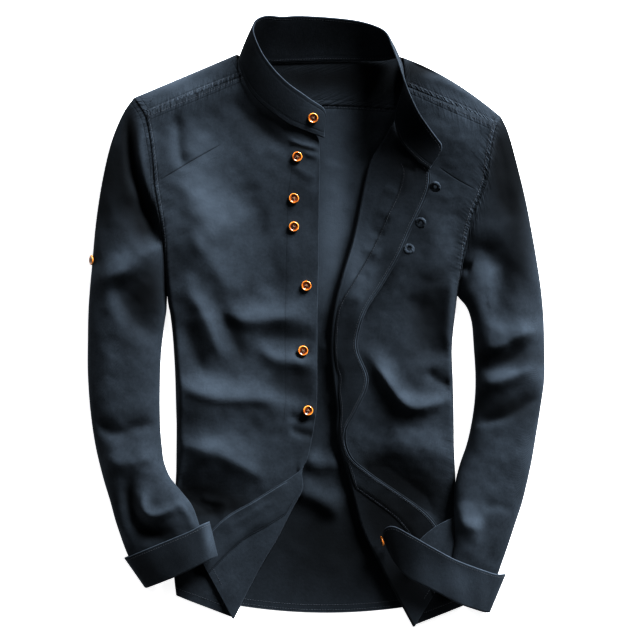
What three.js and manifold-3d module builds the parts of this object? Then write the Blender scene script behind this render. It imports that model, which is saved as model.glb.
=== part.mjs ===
// A mandarin collar shirt of dark navy cotton twill, laid on its back on a flat surface with the front open.
// Both sleeves lie beside the body with their cuffs turned up, the right front is rolled back on itself,
// and the lower corner of the left front is turned out. Sizes are in millimetres, +X is to the viewer's
// right, +Y runs from the hem to the collar and +Z is up from the surface.
// "Left" and "right" are the viewer's.
import * as THREE from "three";
import Module from "manifold-3d";

const wasm = await Module();
wasm.setup();

// Driving sizes
const cloth = 1.4; // wall of one layer of twill
const collarWall = 2.4; // two layers and the stiffening between them
const seamGap = 0.35; // between two pieces at a seam
const layerStep = cloth + seamGap; // from the middle of one layer to the middle of the next
const onFloor = cloth / 2; // middle of a layer that lies on the surface
const sideRoundness = 5; // height at which a sleeve's tube is widest
const facingWidth = 33;
const buttonRadius = 6.3;
const buttonHeight = 2.6;
const loopRadius = 4.5; // middle line of the rolled cloth loop
const loopCord = 2.6; // radius of the rolled cloth
const clearance = 0.3; // under a button and behind a loop
const armholeStep = 1.4; // from the armhole's line to the sleeve's first ring
const turnSpan = 9; // cloth kept for the turn where a front is still flat, so that its cuts stay alike
const turnPull = 4.2; // how far a rolled turn swings out, in radii
const cuffDepth = 2.6; // from a turned-up cuff's outer layer to the layer inside it

// How soft relief starts and ends
const ridgeEnd = 0.35; // share of a ridge's rise left at its ends
const ridgeGrowth = 2.6; // how quickly it reaches its full rise
const flatBorder = 26; // width beside a front's side seam where its folds grow
const seamRows = 0.9; // rows below the yoke seam where they grow
const armholeRings = 5; // rings over which a sleeve takes the armhole's shape
const crownPower = 2.6; // roundness of a sleeve's upper layer
const sleeveSpread = 0.94; // how much closer a ring's points lie at the edges of the sleeve
const endFade = 9; // how quickly relief fades out at the ends of a sleeve or of the back
const creaseFloor = 0.35; // relief of the back that is lost under the weight of the cloth

const lerp = (a, b, t) => a + (b - a) * t;
const clamp = (v) => Math.min(1, Math.max(0, v));
const smooth = (v) => clamp(v) ** 2 * (3 - 2 * clamp(v));
const point = (x, y, z) => new THREE.Vector3(x, y, z);

// Turns an array of column names and rows of numbers into objects
function table(names, rows) {
  return rows.map((row) => Object.fromEntries(names.map((name, i) => [name, row[i]])));
}

// A smooth curve through a table's rows, read at t from 0 to 1
function through(rows, t) {
  const at = clamp(t) * (rows.length - 1);
  const i = Math.min(rows.length - 2, Math.floor(at));
  const s = at - i;
  const row = (k) => rows[Math.min(rows.length - 1, Math.max(0, k))];
  const mixed = {};
  for (const name of Object.keys(rows[0])) {
    const [a, b, c, d] = [i - 1, i, i + 1, i + 2].map((k) => row(k)[name]);
    const bend = s * (c - a + s * (2 * a - 5 * b + 4 * c - d + s * (3 * (b - c) + d - a)));
    mixed[name] = b + bend / 2;
  }
  return mixed;
}

// Soft ridges (rise above 0) and troughs (below 0) in the cloth: each runs from (x0, y0) to (x1, y1), bowed
// sideways by bow, and fades out over reach to each side and towards its ends
const foldColumns = ["x0", "y0", "x1", "y1", "bow", "rise", "reach"];

function foldHeight(folds, x, y) {
  let height = 0;
  for (const f of folds) {
    const [dx, dy] = [f.x1 - f.x0, f.y1 - f.y0];
    const length = Math.hypot(dx, dy);
    const along = ((x - f.x0) * dx + (y - f.y0) * dy) / length ** 2;
    const t = clamp(along);
    const across = ((y - f.y0) * dx - (x - f.x0) * dy) / length - f.bow * 4 * t * (1 - t);
    const past = (along - t) * length;
    const ends = Math.min(1, ridgeEnd + ridgeGrowth * Math.min(t, 1 - t));
    height += f.rise * ends * Math.exp(-((across ** 2 + past ** 2) / f.reach ** 2));
  }
  return height;
}

// The unit normals of a grid of points, rows by columns
function normalsOf(grid, closed) {
  const [rows, columns] = [grid.length, grid[0].length];
  const at = (i, j) => {
    const row = Math.min(rows - 1, Math.max(0, i));
    return grid[row][closed ? (j + columns) % columns : Math.min(columns - 1, Math.max(0, j))];
  };
  return grid.map((line, i) =>
    line.map((_, j) => {
      const down = at(i + 1, j).clone().sub(at(i - 1, j));
      const across = at(i, j + 1).clone().sub(at(i, j - 1));
      return across.cross(down).normalize();
    }),
  );
}

// The grid moved out along its own normals
function moved(grid, distance, closed = false) {
  const normals = normalsOf(grid, closed);
  return grid.map((line, i) => line.map((p, j) => p.clone().addScaledVector(normals[i][j], distance)));
}

// A closed wall of cloth around a grid of middle points; a closed grid's last column joins its first
function wall(grid, thickness, closed = false) {
  const [rows, columns] = [grid.length, grid[0].length];
  const layers = [moved(grid, thickness / 2, closed), moved(grid, -thickness / 2, closed)];
  const positions = layers.flat(2).flatMap((p) => [p.x, p.y, p.z]);
  const index = [];
  const id = (layer, i, j) => layer * rows * columns + i * columns + (j % columns);
  const quad = (a, b, c, d) => index.push(a, b, c, a, c, d);
  const across = closed ? columns : columns - 1;
  for (let i = 0; i < rows - 1; i++) {
    for (let j = 0; j < across; j++) {
      quad(id(0, i, j), id(0, i + 1, j), id(0, i + 1, j + 1), id(0, i, j + 1));
      quad(id(1, i, j), id(1, i, j + 1), id(1, i + 1, j + 1), id(1, i + 1, j));
    }
  }
  for (let j = 0; j < across; j++) {
    quad(id(0, 0, j), id(0, 0, j + 1), id(1, 0, j + 1), id(1, 0, j));
    quad(id(0, rows - 1, j), id(1, rows - 1, j), id(1, rows - 1, j + 1), id(0, rows - 1, j + 1));
  }
  if (!closed) {
    const last = columns - 1;
    for (let i = 0; i < rows - 1; i++) {
      quad(id(0, i, 0), id(1, i, 0), id(1, i + 1, 0), id(0, i + 1, 0));
      quad(id(0, i, last), id(0, i + 1, last), id(1, i + 1, last), id(1, i, last));
    }
  }
  if (signedVolume(positions, index) < 0) index.reverse();
  const geometry = new THREE.BufferGeometry();
  geometry.setAttribute("position", new THREE.Float32BufferAttribute(positions, 3));
  geometry.setIndex(index);
  geometry.computeVertexNormals();
  return geometry;
}

function signedVolume(positions, index) {
  const corner = (k) => new THREE.Vector3().fromArray(positions, 3 * k);
  let volume = 0;
  for (let k = 0; k < index.length; k += 3) {
    const [a, b, c] = [0, 1, 2].map((n) => corner(index[k + n]));
    volume += a.dot(b.cross(c)) / 6;
  }
  return volume;
}

// Armhole seams, from the shoulder's turned edge to the armpit, where a sleeve meets yoke and front
const armholeColumns = ["x", "y", "z"];
const leftArmhole = table(armholeColumns, [
  [-219, 266, 8],
  [-206, 245, 17],
  [-200, 218, 21],
  [-196, 191, 21.5],
  [-195, 167, 21],
  [-192, 143, 20],
  [-187, 118, 18],
  [-184, 95, 15],
  [-181, 65, 11],
  [-180, 29, 5],
]);
const rightArmhole = table(armholeColumns, [
  [220, 243, 8],
  [213, 230, 17],
  [208, 209, 21],
  [205, 188, 21.5],
  [202, 167, 21],
  [193, 142, 20],
  [184, 121, 18],
  [179, 97, 15],
  [173, 66, 11],
  [169, 29, 5],
]);

// The two fronts. Each row of these tables is a cut across one front: it starts at the side seam or armhole
// (side), rounds up to the crown within shoulder, runs to the fold, turns back by the share turn around the
// radius roll, and ends at the front edge or neckline (edge).
const frontColumns = [
  "sideX", "sideY", "sideZ", "shoulder", "crown", "foldX", "foldY", "foldZ", "turn", "roll",
  "edgeX", "edgeY", "edgeZ",
];
const leftFrontCuts = table(frontColumns, [
  [-204.2, 243.6, 18, 14, 21, -104, 285.2, 20.5, 0, 3, -86, 292.4, 20],
  [-199.2, 214, 21, 14, 23, -92, 261, 19, 0, 3, -75.5, 270.5, 18.5],
  [-195.6, 180, 21.5, 16, 23, -60, 232, 15, 0, 3, -43, 244.5, 14.5],
  [-194, 158, 20.5, 18, 22, -21, 209, 12, 0, 3, -3, 224, 11.5],
  [-190, 134, 19, 18, 21, -17, 184, 10, 0, 3, 3, 196, 9.5],
  [-183.5, 92, 15, 20, 20, -17, 136, 9, 0, 3, 2, 138, 8.5],
  [-179.5, 28, 4.2, 22, 18, -18, 50, 8.5, 0, 3, 1, 50, 8],
  [-175, 0, 2.3, 24, 17, -19, 0, 8.5, 0, 3, 0, 0, 8],
  [-171, -46, 2.3, 24, 17, -19, -48, 8.5, 0, 3, 0, -48, 8],
  [-169, -108, 2.3, 24, 16, -19, -106, 8, 0, 3, -1, -106, 8],
  [-168, -150, 2.3, 22, 13, -26, -150, 7.5, 0, 3, -8, -150, 7.5],
  [-169, -184, 2.3, 18, 10, -26, -178, 7, 0.15, 3, -15, -174, 8],
  [-170, -206, 2.3, 14, 8, -20, -201, 6.5, 0.85, 3, -28, -187, 13],
  [-170, -230, 2.3, 12, 7, -33, -228, 6, 1, 3, -49, -200, 14],
  [-171, -262, 2.3, 12, 7, -51, -262, 5.5, 1, 3, -78, -218, 14],
  [-172, -300, 2.3, 12, 6.5, -73, -300, 5, 1, 2.6, -111, -238, 12],
  [-169, -331, 2.3, 12, 6, -102, -357, 4.5, 1, 2.6, -147, -274, 10],
]);
const rightFrontCuts = table(frontColumns, [
  [213.4, 231.6, 18, 14, 21, 114, 276, 20, 0, 3.4, 106, 279, 19.5],
  [208.5, 212, 21, 14, 22, 107, 261, 18.5, 0, 3.4, 100, 264, 18],
  [205, 186, 21.5, 16, 21, 101, 240, 15, 0.1, 3.4, 94, 241, 17],
  [202, 168, 21, 16, 19, 87, 221, 12, 0.9, 3.4, 102, 212, 25],
  [198, 156, 20.5, 18, 18, 75, 203, 10, 1, 3.6, 119, 191, 30],
  [194, 146, 20, 18, 18, 67, 188, 9, 1, 3.8, 134, 177, 34],
  [188, 132, 19, 18, 18, 61, 166, 8, 1, 4, 132, 151, 33],
  [182, 110, 17, 20, 17, 52, 122, 8, 1, 4, 114, 112, 31],
  [176.3, 84, 13.3, 20, 17, 44, 88, 8, 1, 4, 98, 76, 29],
  [170.4, 48, 7.8, 22, 16, 33, 52, 8, 1, 4, 78, 41, 26],
  [166, 10, 2.8, 24, 15, 23, 8, 8, 1, 4, 57, 7, 23],
  [162, -32, 2.3, 24, 15, 20, -34, 8, 1, 3.6, 48.5, -32, 20],
  [163, -72, 2.3, 24, 15, 23, -72, 8, 1, 3.4, 61.5, -72, 22],
  [164, -108, 2.3, 24, 15, 27, -107, 8, 1, 3.2, 48, -107, 18],
  [164, -138, 2.3, 22, 13, 27, -134, 7.5, 0.9, 3, 35, -134, 15.5],
  [165, -166, 2.3, 18, 10, 33, -162, 7, 0.95, 3, 41, -163, 14.5],
  [166, -190, 2.3, 16, 8, 41, -190, 6.5, 1, 3, 66, -185, 14.5],
  [167, -216, 2.3, 14, 7, 49, -220, 6, 1, 3, 100, -208, 14.5],
  [168, -248, 2.3, 12, 7, 59, -254, 6, 1, 3, 132, -232, 13.5],
  [171, -290, 2.3, 12, 7, 81, -298, 5.5, 1, 3, 150, -258, 12],
  [176, -343, 2.3, 12, 7, 118, -366, 5, 1, 3, 158, -300, 11],
]);
const leftFrontFolds = table(foldColumns, [
  [-186, 96, -128, 30, -8, 5, 20],
  [-138, 42, -106, -52, -6, 8, 13],
  [-152, -18, -132, -66, 4, -6, 11],
  [-166, -62, -26, -90, 12, 8, 12],
  [-112, 18, -6, 2, 4, 6, 12],
  [-112, -18, -4, -22, 3, -5, 9],
  [-66, -30, -4, -40, 0, 6, 10],
  [-64, -56, -6, -84, 4, -5, 10],
  [-168, -132, -58, -178, 6, 5, 15],
  [-178, 168, -104, 212, 2, 3, 12],
]);
const rightFrontFolds = table(foldColumns, [
  [92, -36, 114, -98, 10, 5, 12],
  [112, -98, 160, -92, -4, 6, 11],
  [120, -48, 152, -74, 0, -5, 12],
  [100, -122, 150, -132, 4, -4, 10],
  [166, 52, 158, -30, 3, 5, 12],
  [92, -140, 158, -150, -5, 4, 16],
]);

// The points of one cut across a front, from the side to the edge
function frontCut(cut, folds, counts) {
  const side = point(cut.sideX, cut.sideY, cut.sideZ);
  const fold = point(cut.foldX, cut.foldY, cut.foldZ);
  const edge = point(cut.edgeX, cut.edgeY, cut.edgeZ);
  const run = Math.hypot(fold.x - side.x, fold.y - side.y);
  const shares = [];
  for (let k = 0; k < counts.round; k++) {
    shares.push((cut.shoulder / run) * (1 - Math.cos((k / counts.round) * (Math.PI / 2))));
  }
  for (let k = 0; k <= counts.run; k++) shares.push(lerp(cut.shoulder / run, 1, k / counts.run));
  const points = shares.map((u) => {
    const x = lerp(side.x, fold.x, u);
    const y = lerp(side.y, fold.y, u);
    const inward = u * run;
    const rise = Math.sqrt(1 - (1 - clamp(inward / cut.shoulder)) ** 2);
    const flat = lerp(cut.crown, cut.foldZ, smooth((inward - cut.shoulder) / (run - cut.shoulder)));
    const fade = smooth(inward / flatBorder);
    return point(x, y, lerp(cut.sideZ, flat, rise) + fade * foldHeight(folds, x, y));
  });
  const start = points[points.length - 1];
  const out = point(fold.x - side.x, fold.y - side.y, 0).normalize();
  const turn = clamp(cut.turn);
  const back = start.clone().addScaledVector(out, turnSpan * (1 - turn));
  const flatShare = turnSpan / (turnSpan + edge.distanceTo(back));
  back.z = lerp(lerp(start.z, edge.z, flatShare), start.z + 2 * cut.roll, turn);
  const onward = edge.clone().sub(back).setZ(0).normalize();
  const leave = out.clone().lerp(onward, smooth(turn)).normalize();
  const pull = lerp(turnSpan, turnPull * cut.roll, turn);
  for (let k = 1; k <= counts.turn; k++) {
    const s = k / counts.turn;
    const ahead = smooth(s);
    points.push(
      start.clone().multiplyScalar(1 - ahead)
        .addScaledVector(out, s * (1 - s) ** 2 * pull)
        .addScaledVector(back, ahead)
        .addScaledVector(leave, s ** 2 * (s - 1) * pull),
    );
  }
  for (let k = 1; k <= counts.flap; k++) points.push(back.clone().lerp(edge, k / counts.flap));
  return points;
}

// Cuts from the neck to the hem; the folds fade out towards the yoke seam
function frontGrid(cuts, folds, counts) {
  return Array.from({ length: counts.cuts + 1 }, (_, i) => {
    const t = i / counts.cuts;
    const seamFade = smooth((t * (cuts.length - 1)) / seamRows);
    const faded = folds.map((f) => ({ ...f, rise: f.rise * seamFade }));
    return frontCut(through(cuts, t), faded, counts);
  });
}

// The strip that faces the edge of a turned-back front, over the rows from the cut first on. It lies on the
// straight columns of the flap, moved out, inset from the edge and at most facingWidth wide.
function facingGrid(frontPoints, { first, flap, inset, distance }) {
  const steps = 3;
  return moved(frontPoints, distance).slice(first).map((line) => {
    const back = line[line.length - 1 - flap];
    const edge = line[line.length - 1];
    const length = back.distanceTo(edge);
    const width = Math.min(facingWidth, length - 2 * inset);
    return Array.from({ length: steps + 1 }, (_, n) =>
      edge.clone().lerp(back, (inset + (width * n) / steps) / length),
    );
  });
}

// The yoke lies across the back, rises over each shoulder and ends at the front yoke seam. Each row runs from
// the neckline (in) to the armhole or the back seam (out), bowed by bow towards the collar.
const yokeCuts = table(["inX", "inY", "inZ", "outX", "outY", "outZ", "bow"], [
  [-86, 293.9, 20.5, -205, 245.2, 18.3, 0.6],
  [-91.5, 303.6, 18.5, -209.6, 253, 15.5, 1.4],
  [-96, 313, 13.5, -215, 261, 12, 1],
  [-97, 318, 7.5, -219.5, 266, 7.5, 0],
  [-95, 318.5, 3.2, -218.5, 266, 3.2, 0],
  [-90, 315.5, onFloor, -212, 258.5, onFloor, 0],
  [-80, 313, onFloor, -200.5, 231.5, onFloor, 0],
  [-58, 311, onFloor, -146, 247, onFloor, 0],
  [-30, 313, onFloor, -76, 256, onFloor, 0],
  [0, 314, onFloor, -2, 259, onFloor, 0],
  [34, 315, onFloor, 72, 256, onFloor, 0],
  [64, 314, onFloor, 142, 246, onFloor, 0],
  [84, 313, onFloor, 206, 223, onFloor, 0],
  [94, 314, onFloor, 215.5, 240, onFloor, 0],
  [102, 315.5, 3.2, 219, 244, 3.2, 7],
  [104, 314, 7.5, 220.5, 243.5, 7.5, 7],
  [104.5, 308, 13.5, 219, 239.5, 12, 7],
  [105.5, 296, 18.5, 216.5, 235.5, 15.5, 4],
  [106.5, 281, 20, 214.2, 233, 18.3, 1],
]);

function yokeGrid(stations, columns) {
  return Array.from({ length: stations + 1 }, (_, i) => {
    const cut = through(yokeCuts, i / stations);
    return Array.from({ length: columns + 1 }, (_, j) => {
      const u = j / columns;
      const bow = cut.bow * 4 * u * (1 - u);
      const z = Math.max(onFloor, lerp(cut.inZ, cut.outZ, u));
      return point(lerp(cut.inX, cut.outX, u), lerp(cut.inY, cut.outY, u) + bow, z);
    });
  });
}

// The back lies on the surface; only its creases leave it. Each row is a cut from the left edge to the right,
// and the first one follows the yoke's back seam.
const backCuts = table(["leftX", "leftY", "rightX", "rightY", "bow"], [
  [-200.3, 229.5, 205.5, 222, 31],
  [-196, 190, 202.5, 186, 18],
  [-194, 166, 199, 164, 12],
  [-186.5, 122, 183, 120, 6],
  [-179.5, 34, 168, 34, 0],
  [-173, -22, 162, -22, 0],
  [-169, -100, 164, -100, 0],
  [-169, -170, 165, -170, 0],
  [-170, -240, 168, -240, 0],
  [-172, -290, 172, -290, -8],
  [-166, -328, 173, -332, -22],
]);
const backFolds = table(foldColumns, [
  [12, -84, 64, -104, 2, 5, 9],
  [8, -180, 60, -214, 6, 5, 10],
  [-50, -290, 30, -284, 5, 3.5, 9],
  [52, 196, 40, 60, 5, 3.5, 11],
]);

function backGrid(stations, yoke) {
  const { leftX, rightX } = backCuts[0];
  const edge = yoke.map((line) => line.at(-1));
  const seam = edge.filter((p) => p.z <= onFloor && p.x > leftX && p.x < rightX);
  const shares = [0, ...seam.map((p) => (p.x - leftX) / (rightX - leftX)), 1];
  return Array.from({ length: stations + 1 }, (_, i) => {
    const t = i / stations;
    const cut = through(backCuts, t);
    return shares.map((u, j) => {
      const x = lerp(cut.leftX, cut.rightX, u);
      const bowed = lerp(cut.leftY, cut.rightY, u) + cut.bow * 4 * u * (1 - u);
      const y = i === 0 && j > 0 && j <= seam.length ? seam[j - 1].y - 2 * seamGap : bowed;
      const fade = smooth(t * endFade) * smooth((1 - t) * endFade);
      return point(x, y, onFloor + fade * Math.max(0, foldHeight(backFolds, x, y) - creaseFloor));
    });
  });
}

// Sleeves are flattened tubes. Each row is a ring from the outer edge of the arm to the inner edge, with the
// height of its crown above the bottom layer and the heights of that layer at both edges.
const sleeveColumns = ["outX", "outY", "inX", "inY", "crown", "outBase", "inBase"];
const leftSleeveRings = table(sleeveColumns, [
  [-219, 266, -180, 29, 22, onFloor, onFloor],
  [-232, 247, -180, 26, 23, onFloor, onFloor],
  [-246, 213, -180.5, 22, 24, onFloor, onFloor],
  [-257, 168, -181, 17, 25, onFloor, onFloor],
  [-265, 118, -181.5, 11, 25, onFloor, onFloor],
  [-270, 66, -183, 2, 25, onFloor, onFloor],
  [-274, 18, -185, -12, 25, onFloor, onFloor],
  [-275, -24, -187.5, -34, 24, onFloor, onFloor],
  [-275, -64, -189, -62, 24, onFloor, onFloor],
  [-272, -108, -189.5, -98, 24, onFloor, onFloor],
  [-266, -150, -189, -128, 24, onFloor, onFloor],
  [-257, -188, -187, -152, 24, onFloor, 1],
  [-248, -218, -184, -172, 24, 1, 2],
  [-242, -240, -176, -190, 23, 1.6, 6],
  [-236, -258, -163, -205, 22, 2.4, 13],
  [-231, -272, -150, -221, 18, 3, 18.5],
  [-226, -284, -143, -238, 15, 3.4, 20.5],
  [-221, -295, -139, -252, 13, 3.6, 21],
  [-215, -305, -135.5, -264, 11.5, 3.8, 21.5],
]);
const rightSleeveRings = table(sleeveColumns, [
  [220, 243, 169, 29, 22, onFloor, onFloor],
  [229, 223, 169.5, 28, 23, onFloor, onFloor],
  [240, 184, 170.5, 27, 24, onFloor, onFloor],
  [250, 144, 172.5, 25, 25, onFloor, onFloor],
  [258, 104, 175, 22.5, 25, onFloor, onFloor],
  [264, 70, 178.5, 18.5, 25, onFloor, onFloor],
  [269, 36, 183, 10, 25, onFloor, onFloor],
  [272, 2, 187, -6, 25, onFloor, onFloor],
  [273, -34, 189, -32, 24, onFloor, onFloor],
  [273, -70, 191, -64, 24, onFloor, onFloor],
  [268.5, -104, 190.5, -92, 24, onFloor, onFloor],
  [263, -138, 187, -120, 24, onFloor, onFloor],
  [258, -168, 181, -148, 24, onFloor, onFloor],
  [252, -196, 172, -174, 23, 0.8, 3],
  [246, -220, 166, -198, 22, 1.2, 8],
  [238, -244, 164.5, -222, 20, 2, 12],
  [230, -268, 165, -243, 18, 2.8, 13.5],
  [222, -291, 165, -264, 15, 2.8, 15],
  [215, -311, 161.5, -285, 11, 2.7, 15.5],
  [208.5, -328, 158, -304, 8, 2.8, 16],
]);
const leftSleeveFolds = table(foldColumns, [
  [-266, 58, -196, 92, -4, 6, 12],
  [-262, 96, -222, 120, 0, -4, 10],
  [-256, 24, -200, 34, 0, -4, 14],
  [-264, -22, -238, -74, 4, 4, 14],
  [-266, -132, -194, -130, 9, 5, 12],
  [-250, -168, -196, -160, 0, -4, 12],
  [-204, -202, -160, -222, 10, 5, 9],
  [-226, -236, -178, -236, 8, -4, 12],
]);
const rightSleeveFolds = table(foldColumns, [
  [182, 84, 224, 18, -12, 7, 15],
  [176, 68, 196, 54, 0, -5, 8],
  [192, -24, 268, -6, 2, 6, 11],
  [194, -56, 266, -26, 6, -5, 10],
  [194, -72, 268, -84, -10, 6, 11],
  [194, -110, 262, -106, 6, -5, 11],
  [190, -150, 250, -150, 0, 4, 16],
  [172, -232, 214, -250, -4, 5, 14],
]);

function sleeveGrid(rings, armhole, folds, counts, away) {
  const first = rings[0];
  return Array.from({ length: counts.rings + 1 }, (_, i) => {
    const t = i / counts.rings;
    const ring = through(rings, t);
    const seam = 1 - smooth((t * (rings.length - 1)) / armholeRings);
    const half = Math.hypot(ring.inX - ring.outX, ring.inY - ring.outY) / 2;
    const spot = (c, isTop) => {
      const q = (c + 1) / 2;
      const hole = through(armhole, q);
      const x = lerp(ring.outX, ring.inX, q) + seam * (hole.x + away - lerp(first.outX, first.inX, q));
      const y = lerp(ring.outY, ring.inY, q) + seam * (hole.y - lerp(first.outY, first.inY, q));
      const base = Math.max(onFloor, lerp(ring.outBase, ring.inBase, smooth(q)));
      if (!isTop) {
        const rounded = (2 * sideRoundness) / half;
        const side = clamp((Math.abs(c) - 1 + rounded) / rounded);
        return point(x, y, base + sideRoundness * (1 - Math.sqrt(1 - side ** 2)));
      }
      const arch = Math.sqrt(1 - Math.abs(c) ** crownPower);
      const dome = base + sideRoundness + (ring.crown - sideRoundness) * arch;
      const fade = (1 - c ** 4) * smooth((t * (rings.length - 1)) / 2) * smooth((1 - t) * endFade);
      return point(x, y, lerp(dome, hole.z, seam) + fade * foldHeight(folds, x, y));
    };
    const swing = (sleeveSpread * Math.PI) / 2;
    const share = (k, n) => Math.sin((2 * k / n - 1) * swing) / Math.sin(swing);
    const top = Array.from({ length: counts.top + 1 }, (_, k) => spot(share(k, counts.top), true));
    const bottom = Array.from({ length: counts.bottom - 1 }, (_, k) =>
      spot(-share(k + 1, counts.bottom), false),
    );
    return [...top, ...bottom];
  });
}

// Turned-up cuffs. Each row is a place along the cuff: free edge (top), fold (low) and the way that its
// outside faces.
const cuffColumns = ["topX", "topY", "topZ", "lowX", "lowY", "lowZ", "faceX", "faceY", "faceZ"];
const leftCuffStations = table(cuffColumns, [
  [-231, -286, 7, -206, -322, 6, -1, 0, 0.1],
  [-226, -284, 17, -201, -320, 14, -0.6, 0, 0.8],
  [-206, -275, 28, -184, -313, 24, -0.1, 0, 1],
  [-178, -263, 34, -163, -304, 30.5, 0, 0, 1],
  [-152, -252, 37.5, -143, -294, 33.5, 0, 0, 1],
  [-137, -244, 37, -127, -286, 33, 0.5, 0, 0.9],
  [-129, -241, 28, -119, -283, 25, 1, 0, 0],
  [-133, -243, 21, -123, -284, 20, 0.3, 0, -1],
  [-156, -253, 15.5, -145, -294, 15.5, 0, 0, -1],
  [-182, -265, 7, -168, -306, 9, 0, 0, -1],
  [-218, -281, 1, -194, -318, 1, 0, 0, -1],
  [-228, -285, 2, -203, -321, 2, -0.7, 0, -0.7],
]);
const rightCuffStations = table(cuffColumns, [
  [79, -259, 24, 83, -270, 17, -0.9, -0.3, 0.2],
  [81, -249, 31, 87, -280, 20, -0.7, -0.2, 0.7],
  [92, -246, 37, 94, -292, 24, -0.2, 0, 1],
  [112, -256, 39, 110, -309, 27, 0, 0, 1],
  [138, -271, 38, 138, -323, 27, 0, 0, 1],
  [166, -286, 36, 168, -339, 24, 0, 0, 1],
  [194, -297, 31, 189, -347, 18, 0.1, 0, 1],
  [214, -304, 23, 201, -351, 12, 0.5, 0, 0.9],
  [226, -305, 12, 207, -352, 7, 1, 0, 0.1],
  [219, -307, 3, 203, -351, 2.5, 0.5, 0, -0.9],
  [204, -301, 1, 194, -348, 1, 0, 0, -1],
  [186, -296, 1, 185, -344, 1, 0, 0, -1],
]);

function cuffGrid(stations, columns, upRows, closed) {
  const count = closed ? columns : columns + 1;
  const looped = closed ? [...stations, stations[0]] : stations;
  const rows = [
    { up: 0.2, inside: cuffDepth },
    { up: 0.07, inside: cuffDepth },
    { up: 0, inside: cuffDepth / 2 },
    ...Array.from({ length: upRows + 1 }, (_, k) => ({ up: lerp(0.05, 1, k / upRows), inside: 0 })),
  ];
  return rows.map(({ up, inside }) =>
    Array.from({ length: count }, (_, j) => {
      const s = through(looped, j / columns);
      const face = point(s.faceX, s.faceY, s.faceZ).normalize();
      return point(s.lowX, s.lowY, s.lowZ)
        .lerp(point(s.topX, s.topY, s.topZ), up)
        .addScaledVector(face, -inside);
    }),
  );
}

// The collar band, from its left end with the button round the back of the neck to its right end
const collarStations = table(["seamX", "seamY", "seamZ", "topX", "topY", "topZ"], [
  [8, 219.5, 13.8, 12, 252, 15],
  [-14.5, 227.5, 15.3, -5, 262, 20],
  [-33.6, 235.6, 17.2, -17, 270, 25],
  [-52, 248, 19.4, -33, 281, 29],
  [-70, 262.8, 21.2, -49, 296, 33],
  [-83, 279.5, 22.6, -63, 314, 36],
  [-90, 296, 22.8, -72, 332, 36],
  [-94, 308.5, 18.6, -76, 347, 31],
  [-90, 314, 9.5, -72, 358, 28.5],
  [-78, 313.5, 4, -60, 363, 26],
  [-56, 310.5, 3, -42, 362, 24],
  [-20, 311.5, 3, -20, 363, 23],
  [16, 312.5, 3, 16, 361, 23],
  [52, 312.5, 3, 48, 357, 25],
  [80, 312.5, 4.5, 71, 350, 29],
  [95, 315, 10, 83, 341, 35],
  [101, 308, 17, 89, 326, 43],
  [103, 296, 20.2, 96, 306, 54],
  [104, 282, 21.2, 103, 284, 58],
  [99.5, 266, 20, 110, 266, 56],
  [93, 243, 20, 119, 248, 52],
  [100, 215, 28, 130, 232, 47],
  [117, 194, 33, 142, 216, 44],
  [134, 180, 37, 151, 205, 42],
]);

function collarGrid(stations, rows) {
  return Array.from({ length: rows + 1 }, (_, i) =>
    Array.from({ length: stations + 1 }, (_, j) => {
      const s = through(collarStations, j / stations);
      return point(s.seamX, s.seamY, s.seamZ).lerp(point(s.topX, s.topY, s.topZ), i / rows);
    }),
  );
}

// The flap of the right sleeve's open slit, which runs from the sleeve to the open cuff
const slitCuts = table(["inX", "inY", "inZ", "outX", "outY", "outZ"], [
  [163.8, -216, 14.5, 159, -222, 19],
  [163.3, -230, 17.5, 142, -243, 21],
  [163.8, -246, 18.5, 122, -259, 22],
  [163.3, -264, 19.5, 112, -274, 21],
]);

function slitGrid(rows, columns) {
  return Array.from({ length: rows + 1 }, (_, i) => {
    const cut = through(slitCuts, i / rows);
    return Array.from({ length: columns + 1 }, (_, j) =>
      point(cut.inX, cut.inY, cut.inZ).lerp(point(cut.outX, cut.outY, cut.outZ), j / columns),
    );
  });
}

// A four-hole button with a raised rim, standing on z = 0
function buttonGeometry() {
  const profile = [
    [0, 0],
    [buttonRadius - 1.2, 0],
    [buttonRadius, 1],
    [buttonRadius, 1.9],
    [buttonRadius - 0.9, buttonHeight],
    [buttonRadius - 2.1, 1.7],
    [0, 1.5],
  ].map(([r, z]) => new THREE.Vector2(r, z));
  const disc = new THREE.LatheGeometry(profile, 12).rotateX(Math.PI / 2);
  const holeRadius = 0.85;
  const holeSpacing = 1.35; // from the middle
  let solid = toManifold(disc);
  for (const [x, y] of [[1, 1], [1, -1], [-1, 1], [-1, -1]]) {
    const drill = new THREE.CylinderGeometry(holeRadius, holeRadius, 3 * buttonHeight, 5);
    drill.rotateX(Math.PI / 2).translate(x * holeSpacing, y * holeSpacing, 0);
    solid = solid.subtract(toManifold(drill));
  }
  return fromManifold(solid);
}

function toManifold(geometry) {
  const positions = geometry.getAttribute("position");
  const source = geometry.index.array;
  const merged = [];
  const seen = new Map();
  const ids = Array.from({ length: positions.count }, (_, i) => {
    const exact = [positions.getX(i), positions.getY(i), positions.getZ(i)];
    const p = exact.map((v) => Math.round(v * 1e4) / 1e4 + 0);
    const key = p.join();
    if (!seen.has(key)) {
      seen.set(key, merged.length / 3);
      merged.push(...p);
    }
    return seen.get(key);
  });
  const triangles = [];
  for (let k = 0; k < source.length; k += 3) {
    const [a, b, c] = [ids[source[k]], ids[source[k + 1]], ids[source[k + 2]]];
    if (a !== b && b !== c && a !== c) triangles.push(a, b, c);
  }
  if (signedVolume(merged, triangles) < 0) triangles.reverse();
  const vertProperties = new Float32Array(merged);
  const triVerts = new Uint32Array(triangles);
  return new wasm.Manifold(new wasm.Mesh({ numProp: 3, vertProperties, triVerts }));
}

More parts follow.
